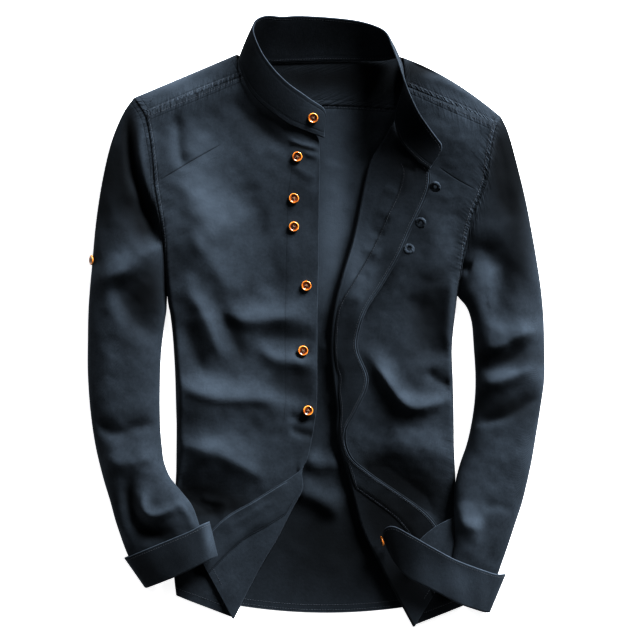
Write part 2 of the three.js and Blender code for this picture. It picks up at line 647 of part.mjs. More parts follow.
function fromManifold(solid) {
  const mesh = solid.getMesh();
  const geometry = new THREE.BufferGeometry();
  geometry.setAttribute("position", new THREE.Float32BufferAttribute(mesh.vertProperties, 3));
  geometry.setIndex(new THREE.BufferAttribute(mesh.triVerts, 1));
  geometry.computeVertexNormals();
  return geometry;
}

// The highest point of a grid's wall under (x, y), and the way that it faces there
function restingPlace(grid, x, y) {
  const normals = normalsOf(grid, false);
  let best = null;
  for (let i = 0; i < grid.length - 1; i++) {
    for (let j = 0; j < grid[0].length - 1; j++) {
      const corners = [[i, j], [i + 1, j], [i + 1, j + 1], [i, j + 1]];
      for (const [a, b, c] of [[0, 1, 2], [0, 2, 3]]) {
        const [p, q, r] = [a, b, c].map((k) => grid[corners[k][0]][corners[k][1]]);
        const area = (q.x - p.x) * (r.y - p.y) - (r.x - p.x) * (q.y - p.y);
        const v = ((x - p.x) * (r.y - p.y) - (r.x - p.x) * (y - p.y)) / area;
        const w = ((q.x - p.x) * (y - p.y) - (x - p.x) * (q.y - p.y)) / area;
        if (v < 0 || w < 0 || v + w > 1) continue;
        const z = p.z + v * (q.z - p.z) + w * (r.z - p.z);
        if (!best || z > best.at.z) {
          const up = normals[i][j].clone();
          best = { at: point(x, y, z), up: up.z < 0 ? up.negate() : up };
        }
      }
    }
  }
  return best;
}

const navy = { color: "#1d2835", roughness: 0.85, metalness: 0 };
const navyInside = { color: "#18212c", roughness: 0.88, metalness: 0 };
const amber = { color: "#b8661f", roughness: 0.35, metalness: 0 };
const shirt = new THREE.Group();

function add(name, geometry, finish) {
  const mesh = new THREE.Mesh(geometry, new THREE.MeshStandardMaterial(finish));
  mesh.name = name;
  shirt.add(mesh);
  return mesh;
}

const leftCounts = { cuts: 38, round: 3, run: 7, turn: 3, flap: 2 };
const rightCounts = { cuts: 40, round: 2, run: 6, turn: 4, flap: 3 };
const leftFront = frontGrid(leftFrontCuts, leftFrontFolds, leftCounts);
const rightFront = frontGrid(rightFrontCuts, rightFrontFolds, rightCounts);
const leftStrip = { first: 29, flap: leftCounts.flap, inset: 1.5, distance: layerStep };
const rightStrip = { first: 8, flap: rightCounts.flap, inset: 2, distance: -layerStep };
const leftFacing = facingGrid(leftFront, leftStrip);
const rightFacing = facingGrid(rightFront, rightStrip);
const collar = collarGrid(40, 3);
const yoke = yokeGrid(34, 4);
const sleeveCounts = { rings: 24, top: 10, bottom: 7 };

add("back", wall(backGrid(14, yoke), cloth), navyInside);
add("yoke", wall(yoke, cloth), navy);
add("left_front", wall(leftFront, cloth), navy);
add("right_front", wall(rightFront, cloth), navy);
add("left_facing", wall(leftFacing, cloth), navyInside);
add("right_facing", wall(rightFacing, cloth), navyInside);
add("collar", wall(collar, collarWall), navy);
const leftSleeve = sleeveGrid(leftSleeveRings, leftArmhole, leftSleeveFolds, sleeveCounts, -armholeStep);
const rightSleeve = sleeveGrid(rightSleeveRings, rightArmhole, rightSleeveFolds, sleeveCounts, armholeStep);
add("left_sleeve", wall(leftSleeve, cloth, true), navy);
add("right_sleeve", wall(rightSleeve, cloth, true), navy);
add("left_cuff", wall(cuffGrid(leftCuffStations, 24, 3, true), cloth, true), navyInside);
add("right_cuff", wall(cuffGrid(rightCuffStations, 24, 3, false), cloth), navyInside);
add("right_slit_flap", wall(slitGrid(4, 3), cloth), navy);

// Buttons of the left front and collar, from the collar down
const buttonPlaces = table(["x", "y"], [
  [-24, 196],
  [-28, 146],
  [-28, 112],
  [-13, 41],
  [-17, -37],
  [-11, -109],
]);
const up = point(0, 0, 1);

function placeOn(mesh, place, lift) {
  mesh.quaternion.setFromUnitVectors(up, place.up);
  mesh.position.copy(place.at).addScaledVector(place.up, lift);
}

// Sits a button on a grid's wall, lifted until its whole rim clears the cloth
function sew(name, grid, x, y, thickness) {
  const place = restingPlace(grid, x, y);
  const rim = Array.from({ length: 8 }, (_, k) => {
    const angle = (k / 8) * 2 * Math.PI;
    const under = restingPlace(grid, x + buttonRadius * Math.cos(angle), y + buttonRadius * Math.sin(angle));
    return under ? under.at.sub(place.at).dot(place.up) : 0;
  });
  placeOn(add(name, buttonGeometry(), amber), place, thickness / 2 + clearance + Math.max(0, ...rim));
}

sew("collar_button", collar, -5, 242, collarWall);
buttonPlaces.forEach(({ x, y }, n) => sew(`front_button_${n + 1}`, leftFront, x, y, cloth));
const sleeveButton = add("sleeve_button", buttonGeometry(), amber);
placeOn(sleeveButton, { at: point(-268.8, 72, 9), up: point(-1, 0, 0.4).normalize() }, cloth / 2 + clearance);
const cuffButton = add("cuff_button", buttonGeometry(), amber);
placeOn(cuffButton, { at: point(80, -264, 22), up: point(-0.94, -0.25, 0.1).normalize() }, cloth / 2);

// Rolled loops that stand out from the right front's edge, each turned a little on its own way
const loopPlaces = table(["y", "tilt"], [
  [160, 0.45],
  [117, 0.25],
  [86, -0.3],
]);
loopPlaces.forEach(({ y, tilt }, n) => {
  const i = rightFront.findIndex((line) => line.at(-1).y < y);
  const [above, below] = [rightFront[i - 1], rightFront[i]];
  const share = (above.at(-1).y - y) / (above.at(-1).y - below.at(-1).y);
  const edge = above.at(-1).clone().lerp(below.at(-1), share);
  const out = edge.clone().sub(above.at(-2).clone().lerp(below.at(-2), share)).normalize();
  const loop = add(`loop_${n + 1}`, new THREE.TorusGeometry(loopRadius, loopCord, 7, 14), navy);
  loop.quaternion.setFromUnitVectors(point(1, 0, 0), out).multiply(
    new THREE.Quaternion().setFromAxisAngle(point(1, 0, 0), tilt),
  );
  loop.position.copy(edge).addScaledVector(out, loopRadius + loopCord + clearance);
});

// The frame's origin is under the middle of the whole shirt, on the surface that it lies on
const box = new THREE.Box3().setFromObject(shirt, true);
const middle = box.getCenter(new THREE.Vector3());
for (const mesh of shirt.children) mesh.position.sub(point(middle.x, middle.y, box.min.z));

export default shirt;
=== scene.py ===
# Looks of the mandarin collar shirt that lies flat: cloth, seams, stitches, buttons, light and camera.
# Lengths in the dictionaries are millimetres on the sheet that the CAD model was drawn on.
import math

import bpy
import numpy as np
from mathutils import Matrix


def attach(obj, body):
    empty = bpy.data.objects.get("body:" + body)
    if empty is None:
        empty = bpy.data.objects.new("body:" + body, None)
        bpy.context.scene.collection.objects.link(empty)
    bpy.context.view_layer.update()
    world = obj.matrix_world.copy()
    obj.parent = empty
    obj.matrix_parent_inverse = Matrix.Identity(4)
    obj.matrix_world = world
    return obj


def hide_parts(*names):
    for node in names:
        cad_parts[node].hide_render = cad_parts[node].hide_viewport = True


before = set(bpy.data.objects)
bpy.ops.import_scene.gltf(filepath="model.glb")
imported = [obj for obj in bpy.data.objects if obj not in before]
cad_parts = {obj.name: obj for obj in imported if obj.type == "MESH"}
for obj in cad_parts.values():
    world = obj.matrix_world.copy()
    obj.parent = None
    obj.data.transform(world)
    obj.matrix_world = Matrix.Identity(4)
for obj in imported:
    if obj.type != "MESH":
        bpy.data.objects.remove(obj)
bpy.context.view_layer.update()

layout = {
    "shift": (0.945, 2.295, 0.0),  # from the drawn sheet to the frame
    "clothThickness": 0.95,
    "collarThickness": 2.1,
    "floorHeight": 0.7,  # middle of the layer that lies on the surface
    "roundedSide": 5.0,
    "turnSpan": 9.0,
    "layerStep": 1.75,
    "allowance": 3.4,  # cloth beyond a seam, hidden under its neighbour
    "detail": 1.0,
}
pieces = {}


# Curves and grids

def smooth(value):
    value = np.clip(value, 0.0, 1.0)
    return value * value * (3.0 - 2.0 * value)


def count(number):
    return max(4, int(round(number * layout["detail"])))


def through(rows, t):
    # a smooth curve through the rows, read at each t from 0 to 1
    rows = np.asarray(rows, float)
    at = np.clip(np.asarray(t, float), 0.0, 1.0) * (len(rows) - 1)
    first = np.minimum(len(rows) - 2, np.floor(at).astype(int))
    s = (at - first)[..., None]
    a, b, c, d = (rows[np.clip(first + k, 0, len(rows) - 1)] for k in (-1, 0, 1, 2))
    return b + 0.5 * s * (c - a + s * (2 * a - 5 * b + 4 * c - d + s * (3 * (b - c) + d - a)))


def mix(a, b, share):
    return a + (b - a) * share


def steps(number, tight=0.0012):
    # even steps with one extra close to each end, so that the shading of an edge stays narrow
    even = np.linspace(0.0, 1.0, number)
    return np.concatenate([[0.0, tight], even[1:-1], [1.0 - tight, 1.0]])


def lengths(points, axis):
    # running length of a grid's lines along one axis
    part = np.linalg.norm(np.diff(points, axis=axis), axis=2)
    start = np.zeros_like(np.take(part, [0], axis=axis))
    return np.concatenate([start, np.cumsum(part, axis=axis)], axis=axis)


def nearestOn(path, x, y):
    # distance, side (left of the way it runs is positive) and share of the way for each place
    best = np.full(x.shape, 1e9)
    side = np.ones(x.shape)
    share = np.zeros(x.shape)
    for k in range(len(path) - 1):
        (ax, ay), (bx, by) = path[k], path[k + 1]
        dx, dy = bx - ax, by - ay
        t = np.clip(((x - ax) * dx + (y - ay) * dy) / (dx * dx + dy * dy + 1e-9), 0.0, 1.0)
        away = np.hypot(x - ax - t * dx, y - ay - t * dy)
        nearer = away < best
        best = np.where(nearer, away, best)
        side = np.where(nearer, np.sign(dx * (y - ay) - dy * (x - ax)), side)
        share = np.where(nearer, (k + t) / (len(path) - 1), share)
    return best, side, share


def relief(folds, x, y):
    # each fold: path, rise, reach to the left and to the right of its way, sharpness
    height = np.zeros(x.shape)
    for path, rise, left, right, power in folds:
        line = through(path, np.linspace(0.0, 1.0, 6 * len(path) - 5))
        near = (x > line[:, 0].min() - 3 * max(left, right)) & (x < line[:, 0].max() + 3 * max(left, right))
        near &= (y > line[:, 1].min() - 3 * max(left, right)) & (y < line[:, 1].max() + 3 * max(left, right))
        if not near.any():
            continue
        away, side, share = nearestOn(line, x[near], y[near])
        reach = np.where(side > 0, left, right)
        ends = smooth(np.minimum(share, 1.0 - share) / 0.28)
        height[near] += rise * ends * np.exp(-((away / reach) ** power))
    return height


def softWaves(x, y, seed, spans, rise):
    # slow uneven undulation of limp cloth
    dice = np.random.default_rng(seed)
    height = np.zeros(x.shape)
    for span in spans:
        for _ in range(5):
            turn = dice.uniform(0.0, math.pi)
            phase = dice.uniform(0.0, 2 * math.pi)
            stretch = dice.uniform(0.75, 1.4)
            wave = (x * math.cos(turn) + y * math.sin(turn)) * 2 * math.pi / (span * stretch)
            bend = 0.8 * np.sin((y * math.cos(turn) - x * math.sin(turn)) * 2 * math.pi / (2.7 * span) + phase)
            height += rise * (span / spans[0]) * np.sin(wave + phase + bend) / 5
    return height


def paintedShadeAndFadeAt(patches, x, y, height=0.0):
    # the dye's fading mixed with painted light and shade: crests are paler as the dye fades, hollows are darker as
    # painted shade, and each listed patch paints shade below 0 and light above 0
    tone = 0.028 * np.asarray(height) + np.zeros(x.shape)
    for centreX, centreY, reachX, reachY, share in patches:
        tone += share * np.exp(-(((x - centreX) / reachX) ** 2) - ((y - centreY) / reachY) ** 2)
    return np.clip(tone, -1.0, 0.85)


def poseOf(node):
    # centre of the base and the facing of a button's CAD node, in sheet millimetres
    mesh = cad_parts[node].data
    points = np.array([v.co[:] for v in mesh.vertices]) * 1000 - np.array(layout["shift"])
    centre = (points.max(axis=0) + points.min(axis=0)) / 2
    _, _, axes = np.linalg.svd(points - points.mean(axis=0), full_matrices=False)
    facing = axes[2] * (1 if axes[2][2] > 0 else -1)
    heights = (points - centre) @ facing
    return centre + facing * heights.min(), facing, axes


buttonNames = ["collar_button"] + [f"front_button_{n}" for n in range(1, 7)] + ["sleeve_button", "cuff_button"]
buttonSpots = [poseOf(node)[0] for node in buttonNames]


def calmed(x, y):
    # cloth stays even under a sewn-on button
    share = np.ones(x.shape)
    for spot in buttonSpots:
        share *= smooth((np.hypot(x - spot[0], y - spot[1]) - 4.5) / 10)
    return share


def tucked(grid, lean, towards=None):
    # two more rows before the first one, which slip under the neighbouring piece
    rows = []
    for share in (1.0, 0.5):
        away = grid[0] - grid[3]
        away[:, 2] = 0
        away /= np.maximum(np.linalg.norm(away, axis=1, keepdims=True), 1e-9)
        if towards is not None:
            away = np.broadcast_to(np.asarray(towards, float), away.shape)
        row = grid[0] + away * layout["allowance"] * share
        row[:, 2] += lean(grid[0][:, 2]) * share
        rows.append(row[None])
    return np.concatenate(rows + [grid], axis=0)


def normalsOf(grid, closed=False):
    if closed:
        across = np.roll(grid, -1, axis=1) - np.roll(grid, 1, axis=1)
    else:
        padded = np.concatenate([grid[:, :1], grid, grid[:, -1:]], axis=1)
        across = padded[:, 2:] - padded[:, :-2]
    padded = np.concatenate([grid[:1], grid, grid[-1:]], axis=0)
    down = padded[2:] - padded[:-2]
    normal = np.cross(across, down)
    return normal / np.maximum(np.linalg.norm(normal, axis=2, keepdims=True), 1e-9)


# Meshes

def addMesh(name, vertices, faces, finish, values=None, cloth=None, smoothShading=True):
    mesh = bpy.data.meshes.new(name)
    points = (np.asarray(vertices) + np.array(layout["shift"])) * 0.001
    mesh.from_pydata(points.tolist(), [], [list(face) for face in faces])
    mesh.polygons.foreach_set("use_smooth", [smoothShading] * len(mesh.polygons))
    for key, value in (values or {}).items():
        mesh.attributes.new(key, "FLOAT", "POINT").data.foreach_set("value", np.asarray(value, float).ravel())
    if cloth is not None:
        corner = np.empty(len(mesh.loops), int)
        mesh.loops.foreach_get("vertex_index", corner)
        uv = mesh.uv_layers.new(name="cloth")
        uv.data.foreach_set("uv", (np.asarray(cloth)[corner] * 0.001).ravel())
    mesh.materials.append(finish.material)
    mesh.validate()
    mesh.update()
    piece = bpy.data.objects.new(name, mesh)
    bpy.context.scene.collection.objects.link(piece)
    pieces[name] = piece
    return piece


def gridFaces(ids, closed=False, flip=False):
    across = np.concatenate([ids, ids[:, :1]], axis=1) if closed else ids
    quads = np.stack([across[:-1, :-1], across[1:, :-1], across[1:, 1:], across[:-1, 1:]], axis=2).reshape(-1, 4)
    return quads[:, ::-1] if flip else quads


def borderOf(rows, columns, closed):
    # places of the free edges of a grid, and the place one step further in
    top = [((0, j), (1, j)) for j in range(columns)]
    low = [((rows - 1, j), (rows - 2, j)) for j in range(columns - 1, -1, -1)]
    if closed:
        return [top, low]
    right = [((i, columns - 1), (i, columns - 2)) for i in range(1, rows - 1)]
    left = [((i, 0), (i, 1)) for i in range(rows - 2, 0, -1)]
    return [top + right + low + left]


def clothWall(name, grid, finish, thickness, closed=False, values=None):
    # a closed wall with rounded rims around a grid of middle points
    rows, columns = grid.shape[:2]
    normal = normalsOf(grid, closed)
    half = (np.broadcast_to(thickness, (rows, columns))[..., None]) / 2
    vertices = [(grid + normal * half).reshape(-1, 3), (grid - normal * half).reshape(-1, 3)]
    ids = np.arange(rows * columns).reshape(rows, columns)
    other = ids + rows * columns
    faces = [gridFaces(ids, closed), gridFaces(other, closed, flip=True)]
    total = 2 * rows * columns
    source = [ids.ravel(), ids.ravel()]
    for loop in borderOf(rows, columns, closed):
        edge = np.array([place for place, _ in loop])
        inner = np.array([place for _, place in loop])
        at = grid[edge[:, 0], edge[:, 1]]
        out = at - grid[inner[:, 0], inner[:, 1]]
        up = normal[edge[:, 0], edge[:, 1]]
        out -= up * (out * up).sum(axis=1, keepdims=True)
        out /= np.maximum(np.linalg.norm(out, axis=1, keepdims=True), 1e-9)
        rim = at + out * half[edge[:, 0], edge[:, 1]] * 0.8
        vertices.append(rim)
        rimIds = total + np.arange(len(loop))
        total += len(loop)
        topIds = ids[edge[:, 0], edge[:, 1]]
        source.append(topIds)
        for a, b in ((topIds, rimIds), (rimIds, topIds + rows * columns)):
            faces.append(np.stack([a, np.roll(a, -1), np.roll(b, -1), b], axis=1))
    vertices = np.concatenate(vertices)
    faces = np.concatenate(faces)
    source = np.concatenate(source)
    a, b, c, d = (vertices[faces[:, k]] for k in range(4))
    volume = (a * np.cross(b, c)).sum() + (a * np.cross(c, d)).sum()
    if volume < 0:
        faces = faces[:, ::-1]
    u = lengths(grid, 1)
    v = lengths(grid, 0)
    middle = u[:, -1:] * 0.5
    cloth = np.stack([(u - middle), v], axis=2).reshape(-1, 2)[source]
    kept = {key: np.broadcast_to(value, (rows, columns)).ravel()[source] for key, value in (values or {}).items()}
    return addMesh(name, vertices, faces, finish, kept, cloth)


def stitchRow(points, normals, pitch=3.2, length=2.3, radius=0.24, lift=0.5):
    # small rounded stitches along a line, each sunk a little in the cloth
    step = np.linalg.norm(np.diff(points, axis=0), axis=1)
    run = np.concatenate([[0.0], np.cumsum(step)])
    starts = np.arange(pitch * 0.5, run[-1] - length, pitch)
    if not len(starts):
        return np.zeros((0, 3)), np.zeros((0, 4), int)
    place = lambda s, data: np.stack([np.interp(s, run, data[:, k]) for k in range(3)], axis=1)
    a, b = place(starts, points), place(starts + length, points)
    up = place(starts + length / 2, normals)
    up /= np.linalg.norm(up, axis=1, keepdims=True)
    along = b - a
    along /= np.maximum(np.linalg.norm(along, axis=1, keepdims=True), 1e-9)
    side = np.cross(up, along)
    stations = [(0.0, 0.25), (0.25, 0.85), (0.75, 0.85), (1.0, 0.25)]
    rings = 6
    verts = []
    for share, size in stations:
        centre = a + (b - a) * share + up * (lift + radius * (0.5 * size - 0.15))
        for k in range(rings):
            angle = 2 * math.pi * k / rings
            verts.append(centre + radius * size * (side * math.cos(angle) * 1.25 + up * math.sin(angle)))
    verts = np.stack(verts, axis=1)
    base = np.arange(len(starts))[:, None] * len(stations) * rings
    faces = []
    for n in range(len(stations) - 1):
        for k in range(rings):
            k2 = (k + 1) % rings
            quad = np.array([n * rings + k, n * rings + k2, (n + 1) * rings + k2, (n + 1) * rings + k])
            faces.append(base + quad)
    for n, order in ((0, (0, 5, 4, 3)), (0, (0, 3, 2, 1)), (3, (0, 1, 2, 3)), (3, (0, 3, 4, 5))):
        faces.append(base + np.array([n * rings + k for k in order]))
    return verts.reshape(-1, 3), np.concatenate(faces)


def addStitches(name, rows, finish, carrier):
    vertices, faces, total = [], [], 0
    for row in rows:
        points, quads = stitchRow(*row[:2], **(row[2] if len(row) > 2 else {}))
        vertices.append(points)
        faces.append(quads + total)
        total += len(points)
    piece = addMesh(name, np.concatenate(vertices), np.concatenate(faces), finish)
    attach(piece, "root")
    return piece


# Finishes

class Wire:
    # a shader socket that can be added, multiplied and compared in plain expressions
    def __init__(self, tree, socket):
        self.tree, self.socket = tree, socket

    def maths(self, operation, first, second=None):
        node = self.tree.nodes.new("ShaderNodeMath")
        node.operation = operation
        for slot, value in zip(node.inputs, (first, second)):
            feed(self.tree, slot, value)
        return Wire(self.tree, node.outputs[0])

    def __add__(self, other):
        return self.maths("ADD", self, other)

    def __radd__(self, other):
        return self.maths("ADD", other, self)

    def __sub__(self, other):
        return self.maths("SUBTRACT", self, other)

    def __rsub__(self, other):
        return self.maths("SUBTRACT", other, self)

    def __mul__(self, other):
        return self.maths("MULTIPLY", self, other)

    def __rmul__(self, other):
        return self.maths("MULTIPLY", other, self)

    def __truediv__(self, other):
        return self.maths("DIVIDE", self, other)

    def __rtruediv__(self, other):
        return self.maths("DIVIDE", other, self)

    def __pow__(self, other):
        return self.maths("POWER", self, other)

    def __neg__(self):
        return self.maths("MULTIPLY", self, -1.0)

    def exp(self):
        return self.maths("EXPONENT", self)

    def sine(self):
        return self.maths("SINE", self)

    def size(self):
        return self.maths("ABSOLUTE", self)


def feed(tree, slot, value):
    if value is None:
        return
    if isinstance(value, Wire):
        tree.links.new(value.socket, slot)
    else:
        slot.default_value = value


class Finish:
    def __init__(self, name):
        self.material = bpy.data.materials.new(name)
        self.material.use_nodes = True
        self.tree = self.material.node_tree
        self.shader = self.tree.nodes["Principled BSDF"]

    def node(self, kind, settings=None, inputs=None, output=0):
        node = self.tree.nodes.new(kind)
        for key, value in (settings or {}).items():
            if key == "stops":
                ramp = node.color_ramp
                while len(ramp.elements) < len(value):
                    ramp.elements.new(0.5)
                for element, (position, colour) in zip(ramp.elements, value):
                    element.position = position
                    element.color = colour
            else:
                setattr(node, key, value)
        for key, value in (inputs or {}).items():
            feed(self.tree, node.inputs[key], value)
        return Wire(self.tree, node.outputs[output])

    def value(self, name):
        # a number that the mesh carries at each point
        return self.node("ShaderNodeAttribute", {"attribute_name": name}, output="Fac")

    def noise(self, scale, detail=2.0, rough=0.5, vector=None, output="Fac"):
        inputs = {"Scale": scale, "Detail": detail, "Roughness": rough}
        if vector is not None:
            inputs["Vector"] = vector
        return self.node("ShaderNodeTexNoise", None, inputs, output)

    def blend(self, share, first, second):
        settings = {"data_type": "RGBA", "clamp_factor": True}
        return self.node("ShaderNodeMix", settings, {0: share, 6: first, 7: second}, 2)

    def combine(self, x, y, z=0.0):
        return self.node("ShaderNodeCombineXYZ", None, {"X": x, "Y": y, "Z": z})

    def bump(self, height, distance, strength=1.0, under=None):
        inputs = {"Height": height, "Distance": distance, "Strength": strength, "Normal": under}
        return self.node("ShaderNodeBump", None, inputs)

    def set(self, **sockets):
        for key, value in sockets.items():
            feed(self.tree, self.shader.inputs[key.replace("_", " ")], value)


def colour(red, green, blue):
    return (red, green, blue, 1.0)


twillLook = {
    # near-black colour of painted shadow, reached where the painted shade values are strongest
    "paintedShadowColour": colour(0.0055, 0.0073, 0.0093),
    "deep": colour(0.0115, 0.0155, 0.0200),
    "plain": colour(0.0410, 0.0530, 0.0680),
    "worn": colour(0.128, 0.162, 0.204),
    "sheen": 0.06,
    "sheenTint": colour(0.62, 0.74, 0.92),
    "weavePitch": 0.0011,  # metres between twill lines
    "puckerReach": 7.0,
    "ropePitch": 6.6,
}


def twillFinish(name, look, shade):
    finish = Finish(name)
    uv = finish.node("ShaderNodeUVMap", {"uv_map": "cloth"})
    parts = {axis: finish.node("ShaderNodeSeparateXYZ", None, {"Vector": uv}, axis) for axis in ("X", "Y")}
    across, along = parts["X"], parts["Y"]
    rim, seam, way = finish.value("rim"), finish.value("seam"), finish.value("way")
    dart, dartShare = finish.value("dart"), finish.value("dartShare")
    # weave: fine diagonal lines, broken by the yarns' unevenness
    wobble = finish.noise(900.0, 2.0, 0.6, uv)
    diagonal = (across + along * 0.62) * (2 * math.pi / look["weavePitch"]) + wobble * 2.5
    lines = diagonal.sine() * 0.5 + 0.5
    fibre = finish.noise(2600.0, 3.0, 0.7, uv)
    # colour: slow fading, finer mottling, worn edges and seam ridges, and painted light and shade from a per-point
    # attribute
    place = finish.node("ShaderNodeTexCoord", None, None, "Object")
    cloudy = finish.noise(30.0, 4.0, 0.6, place)
    mottled = finish.noise(260.0, 4.0, 0.65, place)
    share = cloudy * 0.5 + mottled * 0.6 + fibre * 0.22 + lines * 0.12 - 0.22
    # painted shade and painted light: per-point values below 0 darken the dye toward a near-black shadow colour, and
    # values above 0 lighten it toward the worn colour as a painted highlight; the noise adds random unevenness
    wash = finish.value("wash") + (cloudy - 0.5) * 0.35
    dyed = finish.blend(share, look["deep"], look["plain"])
    base = finish.blend(wash * 0.5, finish.blend(-wash, dyed, look["paintedShadowColour"]), look["worn"])
    nearSeam = (seam * (-1.0 / look["puckerReach"])).exp()
    puckers = finish.noise(1.0, 2.0, 0.55, finish.combine(way * 0.16 + seam * 0.07, seam * 0.045, 0.0))
    ridge = (puckers * 2.0 - 1.0) * nearSeam
    worn = (rim * -2.2).exp() * (0.1 + mottled) * 0.38
    # roped seams: slanted swellings between the seam and its stitches
    slant = way * (2 * math.pi / look["ropePitch"]) + seam * 0.9 + puckers * 9.0
    offset = (seam - 3.0) * 0.42
    rope = (slant.sine() * 0.5 + 0.5) ** 1.6 * (offset * offset * -1.0).exp() * finish.value("rope")
    wear = worn + ridge * 0.3 * nearSeam + rope * 0.34
    shaded = finish.blend(wear, base, look["worn"])
    # sewn lines, creases and seam edges: a narrow groove in the bump, darkened in colour as painted shade
    grooveAndPaintedShade = ((seam - 6.0).size() * -1.6).exp() * 0.5 + (dart.size() * -1.5).exp() * dartShare
    # a dark line at each seam's edge: painted shade in the gap between two pieces
    grooveAndPaintedShade = grooveAndPaintedShade + (seam * -0.9).exp() * 0.8
    final = finish.blend(grooveAndPaintedShade * 0.8, shaded, look["deep"])
    height = lines * 0.00016 + fibre * 0.00012 + mottled * 0.0005
    fine = finish.bump(height, 1.0, 0.55)
    puckered = finish.bump(ridge * 0.0024 + rope * 0.0012 - grooveAndPaintedShade * 0.0006, 1.0, 0.9, fine)
    finish.set(Base_Color=final, Roughness=0.82 + fibre * 0.12, Normal=puckered)
    finish.set(Metallic=0.0, IOR=1.42, Specular_IOR_Level=0.12)
    finish.set(Sheen_Weight=look["sheen"] * shade, Sheen_Roughness=0.45, Sheen_Tint=look["sheenTint"])
    return finish


def threadFinish(name, tone):
    finish = Finish(name)
    twist = finish.noise(3000.0, 2.0, 0.6)
    finish.set(Base_Color=finish.blend(twist, tone, colour(tone[0] * 1.9, tone[1] * 1.9, tone[2] * 1.9)))
    finish.set(Roughness=0.7, Sheen_Weight=0.3, Normal=finish.bump(twist, 0.0001, 0.6))
    return finish


def buttonFinish(name):
    finish = Finish(name)
    place = finish.node("ShaderNodeTexCoord", None, None, "Object")
    smoke = finish.noise(170.0, 4.0, 0.62, place)
    streak = finish.noise(70.0, 3.0, 0.5, place)
    share = smoke * 0.5 + streak * 0.5 - 0.18 + finish.value("rim") * 0.36
    stops = [
        (0.28, colour(0.050, 0.012, 0.004)),
        (0.44, colour(0.230, 0.062, 0.012)),
        (0.58, colour(0.560, 0.200, 0.030)),
        (0.80, colour(0.860, 0.420, 0.110)),
    ]
    tortoise = finish.node("ShaderNodeValToRGB", {"stops": stops}, {"Fac": share}, "Color")
    finish.set(Base_Color=tortoise, Roughness=0.22 + smoke * 0.12, Normal=finish.bump(smoke, 0.0002, 0.15))
    finish.set(IOR=1.5, Coat_Weight=0.5, Coat_Roughness=0.12, Subsurface_Weight=0.0)
    return finish


twill = twillFinish("navyTwill", twillLook, 1.0)
twillInside = twillFinish("navyTwillInside", {**twillLook, "plain": colour(0.0360, 0.0468, 0.060)}, 0.8)
navyThread = threadFinish("navyThread", colour(0.018, 0.025, 0.036))
buttonThread = threadFinish("brownThread", colour(0.13, 0.085, 0.05))
amber = buttonFinish("amberTortoise")
print("finishes made")

# Seams where the sleeves meet yoke and fronts
leftArmhole = [
    (-219, 266, 8), (-206, 245, 17), (-200, 218, 21), (-196, 191, 21.5), (-195, 167, 21),
    (-192, 143, 20), (-187, 118, 18), (-184, 95, 15), (-181, 65, 11), (-180, 29, 5),
]
rightArmhole = [
    (220, 243, 8), (213, 230, 17), (208, 209, 21), (205, 188, 21.5), (202, 167, 21),
    (193, 142, 20), (184, 121, 18), (179, 97, 15), (173, 66, 11), (169, 29, 5),
]

